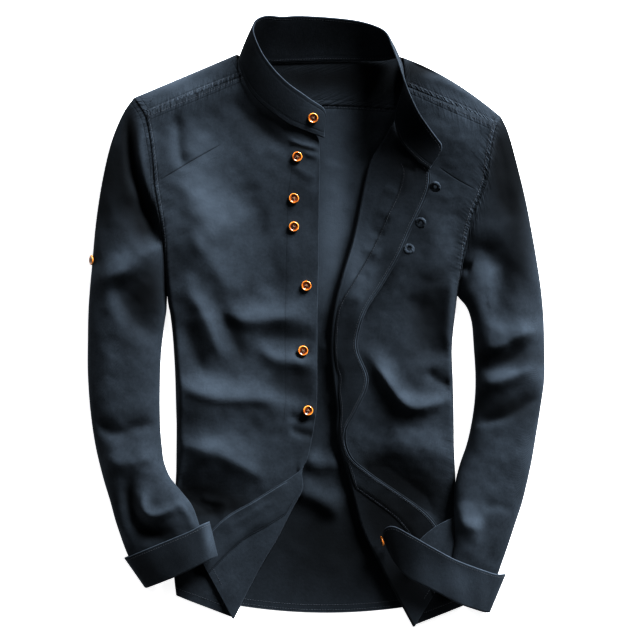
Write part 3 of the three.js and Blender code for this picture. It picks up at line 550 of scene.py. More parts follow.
# Fronts. Columns: side x, y, z, shoulder, crown, fold x, y, z, turn, roll, edge x, y, z
leftFrontLook = {
    "cuts": [
        (-204.2, 243.6, 18, 14, 21, -104, 285.2, 20.5, 0, 3, -86, 292.4, 20),
        (-199.2, 214, 21, 14, 23, -92, 261, 19, 0, 3, -75.5, 270.5, 18.5),
        (-195.6, 180, 21.5, 16, 23, -60, 232, 15, 0, 3, -43, 244.5, 14.5),
        (-194, 158, 20.5, 18, 22, -21, 209, 12, 0, 3, -3, 224, 11.5),
        (-190, 134, 19, 18, 21, -17, 184, 10, 0, 3, 3, 196, 9.5),
        (-183.5, 92, 15, 20, 20, -17, 136, 9, 0, 3, 2, 138, 8.5),
        (-179.5, 28, 4.2, 22, 18, -18, 50, 8.5, 0, 3, 1, 50, 8),
        (-175, 0, 2.3, 24, 17, -19, 0, 8.5, 0, 3, 0, 0, 8),
        (-171, -46, 2.3, 24, 17, -19, -48, 8.5, 0, 3, 0, -48, 8),
        (-169, -108, 2.3, 24, 16, -19, -106, 8, 0, 3, -1, -106, 8),
        (-168, -150, 2.3, 22, 13, -26, -150, 7.5, 0, 3, -8, -150, 7.5),
        (-169, -184, 2.3, 18, 10, -26, -178, 7, 0.15, 3, -15, -174, 8),
        (-170, -206, 2.3, 14, 8, -20, -201, 6.5, 0.85, 2.4, -28, -187, 11.5),
        (-170, -230, 2.3, 12, 7, -33, -228, 6, 1, 2.4, -49, -200, 12.5),
        (-171, -262, 2.3, 12, 7, -51, -262, 5.5, 1, 3, -78, -218, 14),
        (-172, -300, 2.3, 12, 6.5, -73, -300, 5, 1, 2.6, -111, -238, 12),
        (-169, -331, 2.3, 12, 6, -102, -357, 4.5, 1, 2.6, -147, -274, 10),
    ],
    # folds: path, rise, reach left of the way, reach right of it, sharpness
    "folds": [
        ([(-180, -50), (-164, -78), (-140, -90), (-110, -96), (-70, -97), (-40, -99), (-10, -106)], 7.5, 26, 36, 1.7),
        ([(-170, -76), (-140, -90), (-110, -96), (-70, -97), (-40, -99)], 3, 12, 4.5, 1.6),
        ([(-178, -62), (-172, -72)], -4, 5, 5, 1.8),
        ([(-182, -146), (-146, -154), (-110, -165), (-82, -180), (-44, -204)], 6.5, 22, 23, 1.7),
        ([(-176, -147), (-146, -154), (-110, -165), (-82, -180), (-58, -196)], 2, 12, 10, 1.6),
        ([(-174, -190), (-150, -216), (-112, -236)], -5.5, 24, 9, 1.8),
        ([(-142, -212), (-126, -218), (-104, -220)], 2.2, 6, 6, 1.8),
        ([(-166, 52), (-140, 12), (-124, -22), (-110, -60)], 5.5, 13, 12, 1.7),
        ([(-160, 0), (-147, -36), (-132, -72)], -4, 11, 10, 1.8),
        ([(-122, 24), (-105, -10), (-96, -34), (-86, -60)], -4, 10, 10, 1.8),
        ([(-122, 18), (-98, 3), (-70, -1), (-40, 2), (6, -6)], 6.5, 18, 11, 1.6),
        ([(-74, -16), (-44, -22), (0, -22)], -2.5, 10, 10, 1.8),
        ([(-74, -30), (-52, -46), (-28, -51), (4, -55)], 7, 14, 11, 1.6),
        ([(-66, -70), (-42, -88), (-6, -96)], -4.5, 20, 8, 1.8),
        ([(-156, 106), (-124, 64), (-98, 24)], 4.5, 18, 16, 1.7),
        ([(-36, -114), (-20, -119), (0, -121)], -3, 5, 5, 1.8),
        ([(-34, -130), (-18, -137), (-2, -140)], -2.5, 5, 5, 1.8),
        ([(-172, 262), (-168, 232), (-164, 200), (-160, 176)], -3.5, 8, 8, 1.8),
        ([(-106, 276), (-86, 246), (-58, 222), (-28, 204)], -4, 14, 12, 1.8),
        ([(-176, 176), (-138, 132), (-106, 88)], 5, 24, 24, 1.8),
        ([(-96, 166), (-74, 128), (-62, 84)], -3.5, 18, 18, 1.8),
        ([(-60, 96), (-52, 60), (-58, 30)], -2.5, 16, 16, 1.8),
        ([(-36, 216), (-14, 209), (4, 205)], 2.2, 4, 3, 1.7),
        ([(-30, 206), (-12, 199), (4, 195)], 1.8, 4, 3, 1.7),
        ([(-34, 190), (-16, 176), (0, 170)], 1.6, 6, 5, 1.7),
    ],
    "dart": [(-190, 166), (-150, 190), (-112, 212)],
    # painted light and shade: middle x, y, reach x, y and share, painted light above 0 and painted shade below 0
    "wash": [
        (-150, 150, 48, 62, 0.50), (-105, 120, 50, 50, 0.16), (-150, 215, 36, 24, 0.26), (-62, 238, 34, 26, -0.55),
        (-20, 150, 20, 70, -0.10), (-104, -78, 62, 14, 0.36), (-120, -146, 46, 13, 0.28), (-138, -210, 44, 20, -0.80),
        (-150, -228, 44, 24, -0.75), (-96, -222, 40, 12, -0.55), (-36, -74, 34, 15, -0.60), (-136, 10, 12, 50, 0.20), (-150, -34, 10, 36, -0.28),
        (-97, -24, 10, 34, -0.28), (-60, 12, 48, 10, 0.22), (-34, -42, 28, 8, 0.20), (-12, -130, 12, 30, -0.40),
        (-150, -310, 34, 40, -0.55), (-176, 70, 9, 34, -0.45),
    ],
    "flapFolds": [
        ([(-48, -214), (-74, -230), (-100, -248)], 1.2, 4, 3, 1.7),
        ([(-60, -244), (-84, -262), (-108, -284)], -1.2, 4, 4, 1.7),
        ([(-94, -298), (-110, -316), (-126, -332)], 1.0, 4, 4, 1.7),
    ],
    # painted shade along the turned-back part's upper edge: middle x, y, reach x, y and share
    "flapPaintedShadeAndFade": [(-90, -240, 70, 40, 0.05), (-60, -212, 60, 9, -0.25)],
}
rightFrontLook = {
    "cuts": [
        (213.4, 231.6, 18, 14, 21, 114, 276, 20, 0, 3.4, 106, 279, 19.5),
        (208.5, 212, 21, 14, 22, 107, 261, 18.5, 0, 3.4, 100, 264, 18),
        (205, 186, 21.5, 16, 21, 101, 240, 15, 0.1, 3.4, 94, 241, 17),
        (202, 168, 21, 16, 19, 87, 221, 10, 0.9, 3, 102, 212, 25),
        (198, 156, 20.5, 18, 18, 75, 203, 8, 1, 3.1, 119, 191, 30),
        (194, 146, 20, 18, 18, 67, 188, 7.2, 1, 3.2, 134, 177, 34),
        (188, 132, 19, 18, 18, 61, 166, 6.4, 1, 3.4, 132, 151, 33),
        (182, 110, 17, 20, 17, 52, 122, 6.4, 1, 3.4, 114, 112, 31),
        (176.3, 84, 13.3, 20, 17, 44, 88, 6.4, 1, 3.4, 98, 76, 29),
        (170.4, 48, 7.8, 22, 16, 33, 52, 6.4, 1, 3.4, 78, 41, 26),
        (166, 10, 2.8, 24, 15, 23, 8, 6.4, 1, 3.4, 57, 7, 23),
        (162, -32, 2.3, 24, 15, 20, -34, 6.4, 1, 3.2, 48.5, -32, 20),
        (163, -72, 2.3, 24, 15, 23, -72, 6.4, 1, 3, 61.5, -72, 22),
        (164, -108, 2.3, 24, 15, 27, -107, 6.4, 1, 2.9, 48, -107, 18),
        (164, -138, 2.3, 22, 13, 27, -134, 6.2, 0.9, 2.7, 35, -134, 15.5),
        (165, -166, 2.3, 18, 10, 33, -162, 5.8, 0.95, 2.6, 41, -163, 14.5),
        (166, -190, 2.3, 16, 8, 41, -190, 5.4, 1, 2.6, 66, -185, 14.5),
        (167, -216, 2.3, 14, 7, 49, -220, 5.2, 1, 2.6, 100, -208, 14.5),
        (168, -248, 2.3, 12, 7, 59, -254, 5.2, 1, 2.6, 132, -232, 13.5),
        (171, -290, 2.3, 12, 7, 81, -298, 5, 1, 2.6, 150, -258, 12),
        (176, -343, 2.3, 12, 7, 118, -366, 5, 1, 3, 158, -300, 11),
    ],
    "folds": [
        ([(56, -30), (72, -56), (88, -80), (102, -98), (118, -105), (146, -99), (168, -90)], 9.5, 12, 8, 1.6),
        ([(120, 36), (132, -12), (140, -56)], -7, 24, 22, 1.8),
        ([(130, -60), (146, -74), (166, -80)], -4.5, 7, 7, 1.8),
        ([(163, 56), (158, 6), (157, -40)], 5, 8, 9, 1.8),
        ([(80, -138), (120, -154), (168, -160)], 5, 24, 26, 1.8),
        ([(48, -170), (80, -194), (114, -216), (156, -244)], -7, 26, 6, 1.8),
        ([(150, 128), (142, 84), (140, 44)], 3.5, 16, 16, 1.8),
        ([(118, 170), (112, 130), (96, 84)], -3, 14, 14, 1.8),
    ],
    "dart": [(190, 156), (168, 168), (145, 184)],
    # painted light and shade: middle x, y, reach x, y and share, painted light above 0 and painted shade below 0
    "wash": [
        (158, 235, 40, 26, 0.22), (134, 6, 27, 52, -0.62), (82, -62, 11, 18, 0.22), (110, -88, 20, 9, 0.24),
        (146, -92, 18, 7, 0.20), (112, -146, 44, 18, 0.32), (104, -202, 64, 28, -1.0), (66, -172, 22, 22, -0.6), (130, -330, 70, 60, -1.0),
        (84, -106, 14, 20, -0.40), (112, -118, 30, 8, -0.35), (161, 60, 7, 90, 0.18),
    ],
    # short creases across the rolled-back part
    "flapFolds": [
        ([(78, 158), (88, 155), (98, 150)], 1.6, 4, 5, 1.7),
        ([(70, 132), (82, 128), (92, 121)], 1.8, 5, 5, 1.7),
        ([(60, 112), (72, 104), (84, 100)], -1.6, 4, 4, 1.7),
        ([(52, 84), (64, 82), (76, 76)], 2.0, 6, 5, 1.7),
        ([(40, 58), (52, 54), (64, 52)], -1.6, 5, 5, 1.7),
        ([(32, 26), (44, 26), (56, 20)], 1.8, 7, 6, 1.7),
        ([(96, 186), (108, 180), (118, 178)], -1.6, 5, 5, 1.7),
    ],
    # painted light and shade on the rolled-back part: dark at its top and low end, light on its lit band
    "flapPaintedShadeAndFade": [
        (112, 205, 42, 46, -1.0), (50, 62, 20, 44, 0.90), (36, -30, 18, 60, -0.45), (40, -130, 20, 36, -0.30),
        (84, -226, 60, 44, -1.0), (112, -310, 60, 60, -1.0),
    ],
}


def frontParts(look, run, turnSteps, flapSteps):
    # the grid of a front from the side to its edge, and the number of columns of its straight flap
    rows = steps(count(210))
    cuts = through(look["cuts"], rows)
    side, fold, edge = cuts[:, 0:3], cuts[:, 5:8], cuts[:, 10:13]
    shoulder, crown, turn, roll = (cuts[:, k][:, None] for k in (3, 4, 8, 9))
    turn = np.clip(turn, 0.0, 1.0)
    length = np.hypot(*(fold - side)[:, :2].T)[:, None]
    first = count(12)
    arc = 1 - np.cos(np.linspace(0.0, math.pi / 2, first, endpoint=False))[None, :]
    near = np.concatenate([np.zeros((len(rows), 1)), 0.4 / length, (shoulder / length) * arc[:, 1:]], axis=1)
    far = mix(shoulder / length, 1.0, np.linspace(0.0, 1.0, count(run))[None, :])
    u = np.concatenate([near, far], axis=1)
    x = mix(side[:, :1], fold[:, :1], u)
    y = mix(side[:, 1:2], fold[:, 1:2], u)
    inward = u * length
    steep = np.sqrt(np.clip(1 - (1 - np.clip(inward / (0.24 * shoulder), 0, 1)) ** 2, 0, 1))
    rise = mix(smooth(inward / (2.2 * shoulder)), steep, 0.74)
    flat = mix(crown, fold[:, 2:3], smooth((inward - shoulder) / (length - shoulder)))
    seamFade = smooth(rows * (len(look["cuts"]) - 1) / 0.9)[:, None]
    lift = smooth(inward / 8) * seamFade
    main = np.stack([x, y, mix(side[:, 2:3], flat, rise)], axis=2)
    start = main[:, -1]
    out = (fold - side) * np.array([1, 1, 0])
    out /= np.linalg.norm(out, axis=1, keepdims=True)
    back = start + out * layout["turnSpan"] * (1 - turn)
    flatShare = layout["turnSpan"] / (layout["turnSpan"] + np.linalg.norm((edge - back)[:, :2], axis=1))
    back[:, 2] = mix(mix(start[:, 2], edge[:, 2], flatShare), start[:, 2] + 2 * roll[:, 0], turn[:, 0])
    onward = (edge - back) * np.array([1, 1, 0])
    onward /= np.linalg.norm(onward, axis=1, keepdims=True)
    leave = mix(out, onward, smooth(turn))
    leave /= np.linalg.norm(leave, axis=1, keepdims=True)
    pull = mix(layout["turnSpan"], 4.2 * roll, turn)
    s = np.linspace(0.0, 1.0, count(turnSteps))[None, 1:, None]
    turned = (
        start[:, None] * (2 * s**3 - 3 * s**2 + 1)
        + out[:, None] * (s**3 - 2 * s**2 + s) * pull[:, None]
        + back[:, None] * (3 * s**2 - 2 * s**3)
        + leave[:, None] * (s**3 - s**2) * pull[:, None]
    )
    share = np.concatenate([np.linspace(0.0, 1.0, count(flapSteps))[1:-1], [0.985, 1.0]])[None, :, None]
    flap = back[:, None] + (edge - back)[:, None] * share
    reachAcross = np.sin(np.clip(share[..., 0], 0, 1) * math.pi * 0.5) * seamFade * turn
    flap[..., 2] += reachAcross * softWaves(flap[..., 0], flap[..., 1], look["seed"] + 7, (46.0, 23.0), 1.0)
    if "flapFolds" in look:
        flap[..., 2] += reachAcross * relief(look["flapFolds"], flap[..., 0], flap[..., 1])
    # folds: over the whole width where the edge lies flat, and up to the turn where it is folded back
    keep = np.concatenate([
        lift * mix(1.0, smooth((length - inward) / 22), turn),
        np.broadcast_to((1 - turn) * seamFade, (len(rows), turned.shape[1] + flap.shape[1])),
    ], axis=1)
    grid = np.concatenate([main, turned, flap], axis=1)
    gx, gy = grid[..., 0], grid[..., 1]
    shape = relief(look["folds"], gx, gy) + softWaves(gx, gy, look["seed"], (70.0, 34.0, 17.0), 1.5)
    low = np.minimum(grid[..., 2], 2.2)
    grid[..., 2] = np.maximum(low, grid[..., 2] + keep * calmed(gx, gy) * shape)
    return tucked(grid, lambda z: 0 * z - 1.9), flap.shape[1]


def frontValues(grid, look, flapColumns):
    across, along = lengths(grid, 1), np.maximum(0.0, lengths(grid, 0) - layout["allowance"])
    fromEdge = across[:, -1:] - across
    fromHem = along[-1:, :] - along
    seam = np.minimum(across, along)
    way = np.where(across < along, along[:, :1], across)
    line = through(look["dart"], np.linspace(0, 1, 13))
    away, side, share = nearestOn(line, grid[..., 0], grid[..., 1])
    fade = smooth(np.minimum(share + 0.02, (1 - share)) / 0.25)
    inSpan = (away < 12) & (across < across[:, -1:] * 0.75)
    rope = np.where(across < along, look["armholeRope"] * smooth((grid[..., 1] - 50) / 40), 0.2)
    x, y = grid[..., 0], grid[..., 1]
    facingUp = normalsOf(grid)[..., 2]
    onFlap = (np.arange(grid.shape[1])[None, :] >= grid.shape[1] - flapColumns - 3) & (facingUp * facingUp[:, 20:21] < 0)
    wash = np.where(onFlap, paintedShadeAndFadeAt(look["flapPaintedShadeAndFade"], x, y), paintedShadeAndFadeAt(look["wash"], x, y, relief(look["folds"], x, y)))
    return {
        "rope": rope,
        "wash": wash,
        "rim": np.minimum(fromEdge + 0.7, fromHem + 0.4),
        "seam": seam,
        "way": way,
        # the chest crease and the placket's sewn line are drawn dark through these values: painted shade in the groove
        "dart": np.where(inSpan, away * side, (fromEdge - 39.0) * 0.45),
        "dartShare": np.where(inSpan, fade, look["placket"] * smooth((200 - y) / 20) * smooth((y + 150) / 40)),
    }


def dress(piece, nodes):
    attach(piece, "root")
    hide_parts(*nodes)


def lineOf(grid, row=None, column=None, normals=None):
    if row is not None:
        return grid[row], normals[row]
    return grid[:, column], normals[:, column]


def insetLine(grid, normals, distance, side):
    # a line at an even distance from one edge of a grid, found along its rows or columns
    axis = 1 if side in ("left", "right") else 0
    run = lengths(grid, axis)
    if side in ("right", "low"):
        run = np.take(run, [-1], axis=axis) - run
    lines = []
    total = grid.shape[1 - axis]
    for k in range(total):
        distanceRun = run[k] if axis == 1 else run[:, k]
        points = grid[k] if axis == 1 else grid[:, k]
        normal = normals[k] if axis == 1 else normals[:, k]
        order = np.argsort(distanceRun)
        place = [np.interp(distance, distanceRun[order], points[order, c]) for c in range(3)]
        facing = [np.interp(distance, distanceRun[order], normal[order, c]) for c in range(3)]
        lines.append(place + facing)
    lines = np.array(lines)
    return lines[:, :3], lines[:, 3:]


def topNormals(grid, closed=False, upwards=True):
    normal = normalsOf(grid, closed)
    if upwards:
        return np.where(normal[..., 2:3] < 0, -normal, normal)
    return normal


leftFrontLook.update({"seed": 3, "placket": 0.34, "armholeRope": 0.6})
rightFrontLook.update({"seed": 11, "placket": 0.0, "armholeRope": 0.4})
leftGrid, leftFlap = frontParts(leftFrontLook, 84, 18, 20)
rightGrid, rightFlap = frontParts(rightFrontLook, 70, 22, 40)
wallOne = layout["clothThickness"]
leftNormals, rightNormals = normalsOf(leftGrid), normalsOf(rightGrid)
leftFront = clothWall("left_front_cloth", leftGrid, twill, wallOne, values=frontValues(leftGrid, leftFrontLook, leftFlap))
rightFront = clothWall("right_front_cloth", rightGrid, twill, wallOne, values=frontValues(rightGrid, rightFrontLook, rightFlap))
print("fronts made")


def facing(name, grid, flapColumns, firstShare, inset, distance, width=33.0):
    rows = grid.shape[0]
    inner = np.linspace(0.0, 1.0, grid.shape[1])[None, :] ** 0
    fromEdge = lengths(grid, 1)
    fromEdge = fromEdge[:, -1:] - fromEdge
    start = int(firstShare * (rows - 1))
    begin = smooth((np.arange(rows) - start)[:, None] / count(16))
    sink = np.sign(distance) * mix(-0.3, mix(abs(distance), 0.62, smooth((fromEdge - inset - width + 9) / 9)), begin)
    moved = grid + normalsOf(grid) * (sink * inner)[..., None]
    back, edge = moved[start:, -1 - flapColumns], moved[start:, -1]
    length = np.linalg.norm(edge - back, axis=1)
    wide = np.minimum(width, length - 2 * inset)
    fractions = steps(count(22), 0.02)
    share = (inset + wide[:, None] * fractions[None, :]) / length[:, None]
    columns = np.linspace(1.0, 0.0, flapColumns + 1)
    strip = moved[start:, -1 - flapColumns:]
    # read the moved flap at each share of its length, from the edge inwards
    out = np.empty((len(length), len(fractions), 3))
    for i in range(len(length)):
        run = np.concatenate([[0.0], np.cumsum(np.linalg.norm(np.diff(strip[i][::-1], axis=0), axis=1))])
        run /= run[-1]
        for c in range(3):
            out[i, :, c] = np.interp(share[i], run, strip[i][::-1][:, c])
    return out


def stripValues(grid):
    across, along = lengths(grid, 1), lengths(grid, 0)
    edge = np.minimum(np.minimum(across, across[:, -1:] - across), np.minimum(along, along[-1:] - along))
    far = np.full(edge.shape, 90.0)
    return {"rim": edge, "seam": far, "way": along, "dart": far, "dartShare": 0 * far, "rope": 0 * far,
            "wash": 0 * far}


def facingValues(grid, patches):
    # the inner edge is a sewn line, drawn as a dark line of painted shade; the strip itself lies flush with the cloth
    # under it
    values = stripValues(grid)
    inner = lengths(grid, 1)
    values["dart"] = inner[:, -1:] - inner - 1.2
    values["dartShare"] = smooth(lengths(grid, 0) / 25) * 0.9
    values["rim"] = inner
    values["wash"] = paintedShadeAndFadeAt(patches, grid[..., 0], grid[..., 1])
    return values


leftFacingGrid = facing("left", leftGrid, leftFlap, 29 / 38, 1.5, layout["layerStep"])
rightFacingGrid = facing("right", rightGrid, rightFlap, 9.4 / 40, 2.0, -layout["layerStep"])
leftFacing = clothWall("left_facing_cloth", leftFacingGrid, twillInside, wallOne, values=facingValues(leftFacingGrid, leftFrontLook["flapPaintedShadeAndFade"]))
rightFacing = clothWall("right_facing_cloth", rightFacingGrid, twillInside, wallOne, values=facingValues(rightFacingGrid, rightFrontLook["flapPaintedShadeAndFade"]))

# Yoke. Columns: neckline x, y, z, armhole or back seam x, y, z, bow
yokeLook = {
    "cuts": [
        (-86, 293.9, 20.5, -205, 245.2, 18.3, 0.6), (-91.5, 303.6, 18.5, -209.6, 253, 15.5, 1.4),
        (-96, 313, 13.5, -215, 261, 12, 1), (-97, 318, 7.5, -219.5, 266, 7.5, 0),
        (-95, 318.5, 3.2, -218.5, 266, 3.2, 0), (-90, 315.5, 0.7, -212, 258.5, 0.7, 0),
        (-80, 313, 0.7, -200.5, 231.5, 0.7, 0), (-58, 311, 0.7, -146, 247, 1.7, 0),
        (-30, 313, 0.7, -76, 256, 1.7, 0), (0, 314, 0.7, -2, 259, 1.7, 0),
        (34, 315, 0.7, 72, 256, 1.7, 0), (64, 315, 0.7, 142, 246, 1.7, 0),
        (84, 317, 0.7, 206, 223, 0.7, 0), (94, 318, 0.7, 215.5, 240, 0.7, 0),
        (102, 315.5, 3.2, 219, 244, 3.2, 7), (104, 314, 7.5, 220.5, 243.5, 7.5, 7),
        (104.5, 308, 13.5, 219, 239.5, 12, 7), (105.5, 296, 18.5, 216.5, 235.5, 15.5, 4),
        (106.5, 281, 20, 214.2, 233, 18.3, 1),
    ],
    "folds": [
        ([(108, 316), (126, 305), (152, 292)], -5, 8, 8, 1.7),
        ([(116, 296), (150, 286), (196, 262)], 2.5, 9, 6, 1.7),
        ([(-110, 306), (-150, 290), (-190, 268)], 2.0, 8, 8, 1.7),
    ],
    # painted light on the left shoulder and painted shade inside the yoke near the collar
    "wash": [
        (-150, 277, 54, 18, 0.60), (176, 264, 44, 16, 0.06), (126, 303, 22, 10, -0.80), (-6, 292, 90, 22, -0.95),
        (82, 285, 40, 36, -0.90),
    ],
}


def yokeGrid():
    rows = steps(count(190), 0.0008)
    cuts = through(yokeLook["cuts"], rows)
    u = steps(count(52), 0.004)[None, :]
    x = mix(cuts[:, 0:1], cuts[:, 3:4], u)
    y = mix(cuts[:, 1:2], cuts[:, 4:5], u) + cuts[:, 6:7] * 4 * u * (1 - u)
    z = np.maximum(layout["floorHeight"], mix(cuts[:, 2:3], cuts[:, 5:6], u))
    high = smooth((z - 6) / 6) * smooth(u * 6) * smooth((1 - u) * 6)
    return np.stack([x, y, z + high * relief(yokeLook["folds"], x, y)], axis=2)


def seamedValues(grid, patches):
    across, along = lengths(grid, 1), lengths(grid, 0)
    seam = np.minimum(np.minimum(across, across[:, -1:] - across), np.minimum(along, along[-1:] - along))
    way = np.where(np.minimum(along, along[-1:] - along) < np.minimum(across, across[:, -1:] - across), across, along)
    far = np.full(seam.shape, 90.0)
    ends = np.minimum(along, along[-1:] - along)
    rope = 0.6 * np.exp(-((ends / 7) ** 2)) + 0.2 * np.exp(-seam / 9)
    return {"rim": far, "seam": seam, "way": way, "dart": far, "dartShare": 0 * far, "rope": rope,
            "wash": paintedShadeAndFadeAt(patches, grid[..., 0], grid[..., 1])}


yokePoints = yokeGrid()
yoke = clothWall("yoke_cloth", yokePoints, twill, wallOne, values=seamedValues(yokePoints, yokeLook["wash"]))

backLook = {
    "cuts": [
        (-200.3, 229.5, 205.5, 222, 31), (-196, 190, 202.5, 186, 18), (-194, 166, 199, 164, 12),
        (-186.5, 122, 183, 120, 6), (-179.5, 34, 168, 34, 0), (-173, -22, 162, -22, 0),
        (-169, -100, 164, -100, 0), (-169, -170, 165, -170, 0), (-170, -240, 168, -240, 0),
        (-172, -290, 172, -290, -8), (-166, -328, 173, -332, -22),
    ],
    "folds": [
        ([(4, -44), (24, -52), (44, -50)], 5, 12, 8, 1.7),
        ([(6, -92), (34, -98), (60, -108)], 5, 12, 8, 1.7),
        ([(2, -28), (16, -34), (32, -30)], 4, 8, 6, 1.7),
        ([(-18, -168), (6, -176), (30, -170)], 7, 14, 8, 1.7),
        ([(-30, -204), (0, -216), (30, -236)], 9, 18, 9, 1.6),
        ([(48, -214), (58, -240), (68, -268)], 4, 8, 8, 1.8),
        ([(52, 196), (50, 130), (40, 60)], 4, 12, 12, 1.8),
    ],
    # painted light and shade on the back seen inside the open fronts: a lighter stripe up the middle, darker toward the
    # hem and beside the rolled edge
    "wash": [
        (24, 120, 26, 110, 0.90), (20, -270, 110, 80, -1.00), (74, 110, 18, 120, -0.60), (8, -60, 40, 60, -0.30),
        (4, -165, 30, 14, 0.35), (14, -208, 34, 10, 0.40),
    ],
}


def backGrid():
    rows = steps(count(120))
    cuts = through(backLook["cuts"], rows)
    u = steps(count(110), 0.001)[None, :]
    x = mix(cuts[:, 0:1], cuts[:, 2:3], u)
    y = mix(cuts[:, 1:2], cuts[:, 3:4], u) + cuts[:, 4:5] * 4 * u * (1 - u)
    outer = yokePoints[:, -1]
    flat = outer[(outer[:, 2] < 2) & (outer[:, 0] > -200.2) & (outer[:, 0] < 205.4)]
    flat = flat[np.argsort(flat[:, 0])]
    under = smooth((150 - np.abs(x[0])) / 30)
    seamY = np.interp(x[0], flat[:, 0], flat[:, 1]) - 0.9 + 2.2 * under
    y[0] = np.minimum(seamY, y[0] + 40)
    y[1] = y[0] - 0.4
    fade = smooth(rows[:, None] * 9) * smooth((1 - rows[:, None]) * 9) * smooth(u * 30) * smooth((1 - u) * 30)
    lift = np.maximum(0.0, relief(backLook["folds"], x, y) + softWaves(x, y, 5, (60.0, 30.0, 16.0), 0.9) - 0.1)
    return np.stack([x, y, layout["floorHeight"] + fade * lift], axis=2)


backPoints = backGrid()
backValues = seamedValues(backPoints, backLook["wash"])
backRun = lengths(backPoints, 0)
backValues["rim"] = backRun[-1:] - backRun
backValues["seam"] = np.minimum(backRun, 90.0)
back = clothWall("back_cloth", backPoints, twillInside, wallOne, values=backValues)
print("yoke and back made")

# Sleeves. Columns: outer edge x, y, inner edge x, y, crown, bottom layer's height at the outer and inner edge
leftSleeveLook = {
    "rings": [
        (-219, 266, -180, 29, 22, 0.7, 0.7), (-232, 247, -180, 26, 23, 0.7, 0.7),
        (-246, 213, -180.5, 22, 24, 0.7, 0.7), (-257, 168, -181, 17, 25, 0.7, 0.7),
        (-265, 118, -181.5, 11, 25, 0.7, 0.7), (-270, 66, -183, 2, 25, 0.7, 0.7),
        (-274, 18, -185, -12, 25, 0.7, 0.7), (-275, -24, -187.5, -34, 24, 0.7, 0.7),
        (-275, -64, -189, -62, 24, 0.7, 0.7), (-272, -108, -189.5, -98, 24, 0.7, 0.7),
        (-266, -150, -189, -128, 24, 0.7, 0.7), (-257, -188, -187, -152, 24, 0.7, 1),
        (-248, -218, -184, -172, 24, 1, 2), (-242, -240, -176, -190, 23, 1.6, 6),
        (-236, -258, -163, -205, 22, 2.4, 13), (-231, -272, -150, -221, 18, 3, 18.5),
        (-226, -284, -143, -238, 15, 3.4, 20.5), (-221, -295, -139, -252, 13, 3.6, 21),
        (-215, -305, -135.5, -264, 11.5, 3.8, 21.5),
    ],
    "folds": [
        ([(-221, 262), (-227, 234), (-225, 204), (-220, 176), (-212, 152), (-200, 116), (-190, 84)], -12, 6, 6, 1.7),
        ([(-212, 244), (-214, 222), (-211, 192), (-203, 160), (-194, 126)], 3, 6, 5, 1.8),
        ([(-218, 152), (-206, 112), (-194, 84)], -7, 14, 16, 1.8),
        ([(-250, 220), (-262, 160), (-268, 100)], -7, 18, 18, 1.8),
        ([(-282, 44), (-250, 51), (-226, 60), (-204, 78), (-180, 98)], 9, 24, 11, 1.6),
        ([(-244, 52), (-228, 16), (-208, -8), (-182, -24)], -7.5, 30, 12, 1.8),
        ([(-254, 48), (-242, 8), (-234, -36)], 3.5, 14, 12, 1.8),
        ([(-272, 6), (-258, -30), (-248, -64)], 2, 14, 14, 1.8),
        ([(-258, 160), (-246, 132), (-252, 108)], 2.5, 8, 8, 1.8),
        ([(-276, -106), (-256, -130), (-236, -137), (-214, -128), (-184, -124)], -7, 12, 7, 1.7),
        ([(-264, -164), (-228, -172), (-184, -158)], 7, 22, 12, 1.6),
        ([(-206, -192), (-208, -222), (-196, -233), (-176, -226), (-158, -208)], 6.5, 7, 8, 1.7),
        ([(-220, -180), (-226, -210), (-218, -238), (-196, -256), (-168, -250)], -7, 8, 9, 1.8),
        ([(-242, -240), (-230, -258), (-214, -272)], 2, 8, 8, 1.8),
        ([(-170, -212), (-154, -230), (-144, -252)], 4, 4, 6, 1.8),
    ],
    "seed": 21,
    # painted shade in the valleys beside the armhole and painted light on the lit crests
    "wash": [
        (-225, 200, 10, 64, -0.85), (-206, 120, 14, 44, -0.85), (-208, 208, 8, 34, 0.30), (-246, 170, 30, 80, -0.85), (-262, 58, 16, 11, 0.40),
        (-232, 72, 22, 13, 0.42), (-200, 96, 14, 12, 0.30), (-202, 34, 26, 34, -0.90), (-252, -30, 12, 50, 0.12),
        (-228, -10, 22, 40, -0.20), (-225, -148, 40, 18, -0.10), (-198, -256, 30, 9, -0.90), (-223, -208, 9, 28, -0.60),
        (-228, -258, 12, 10, 0.40), (-240, -216, 10, 30, -0.30), (-258, -40, 8, 150, -0.25),
    ],
}
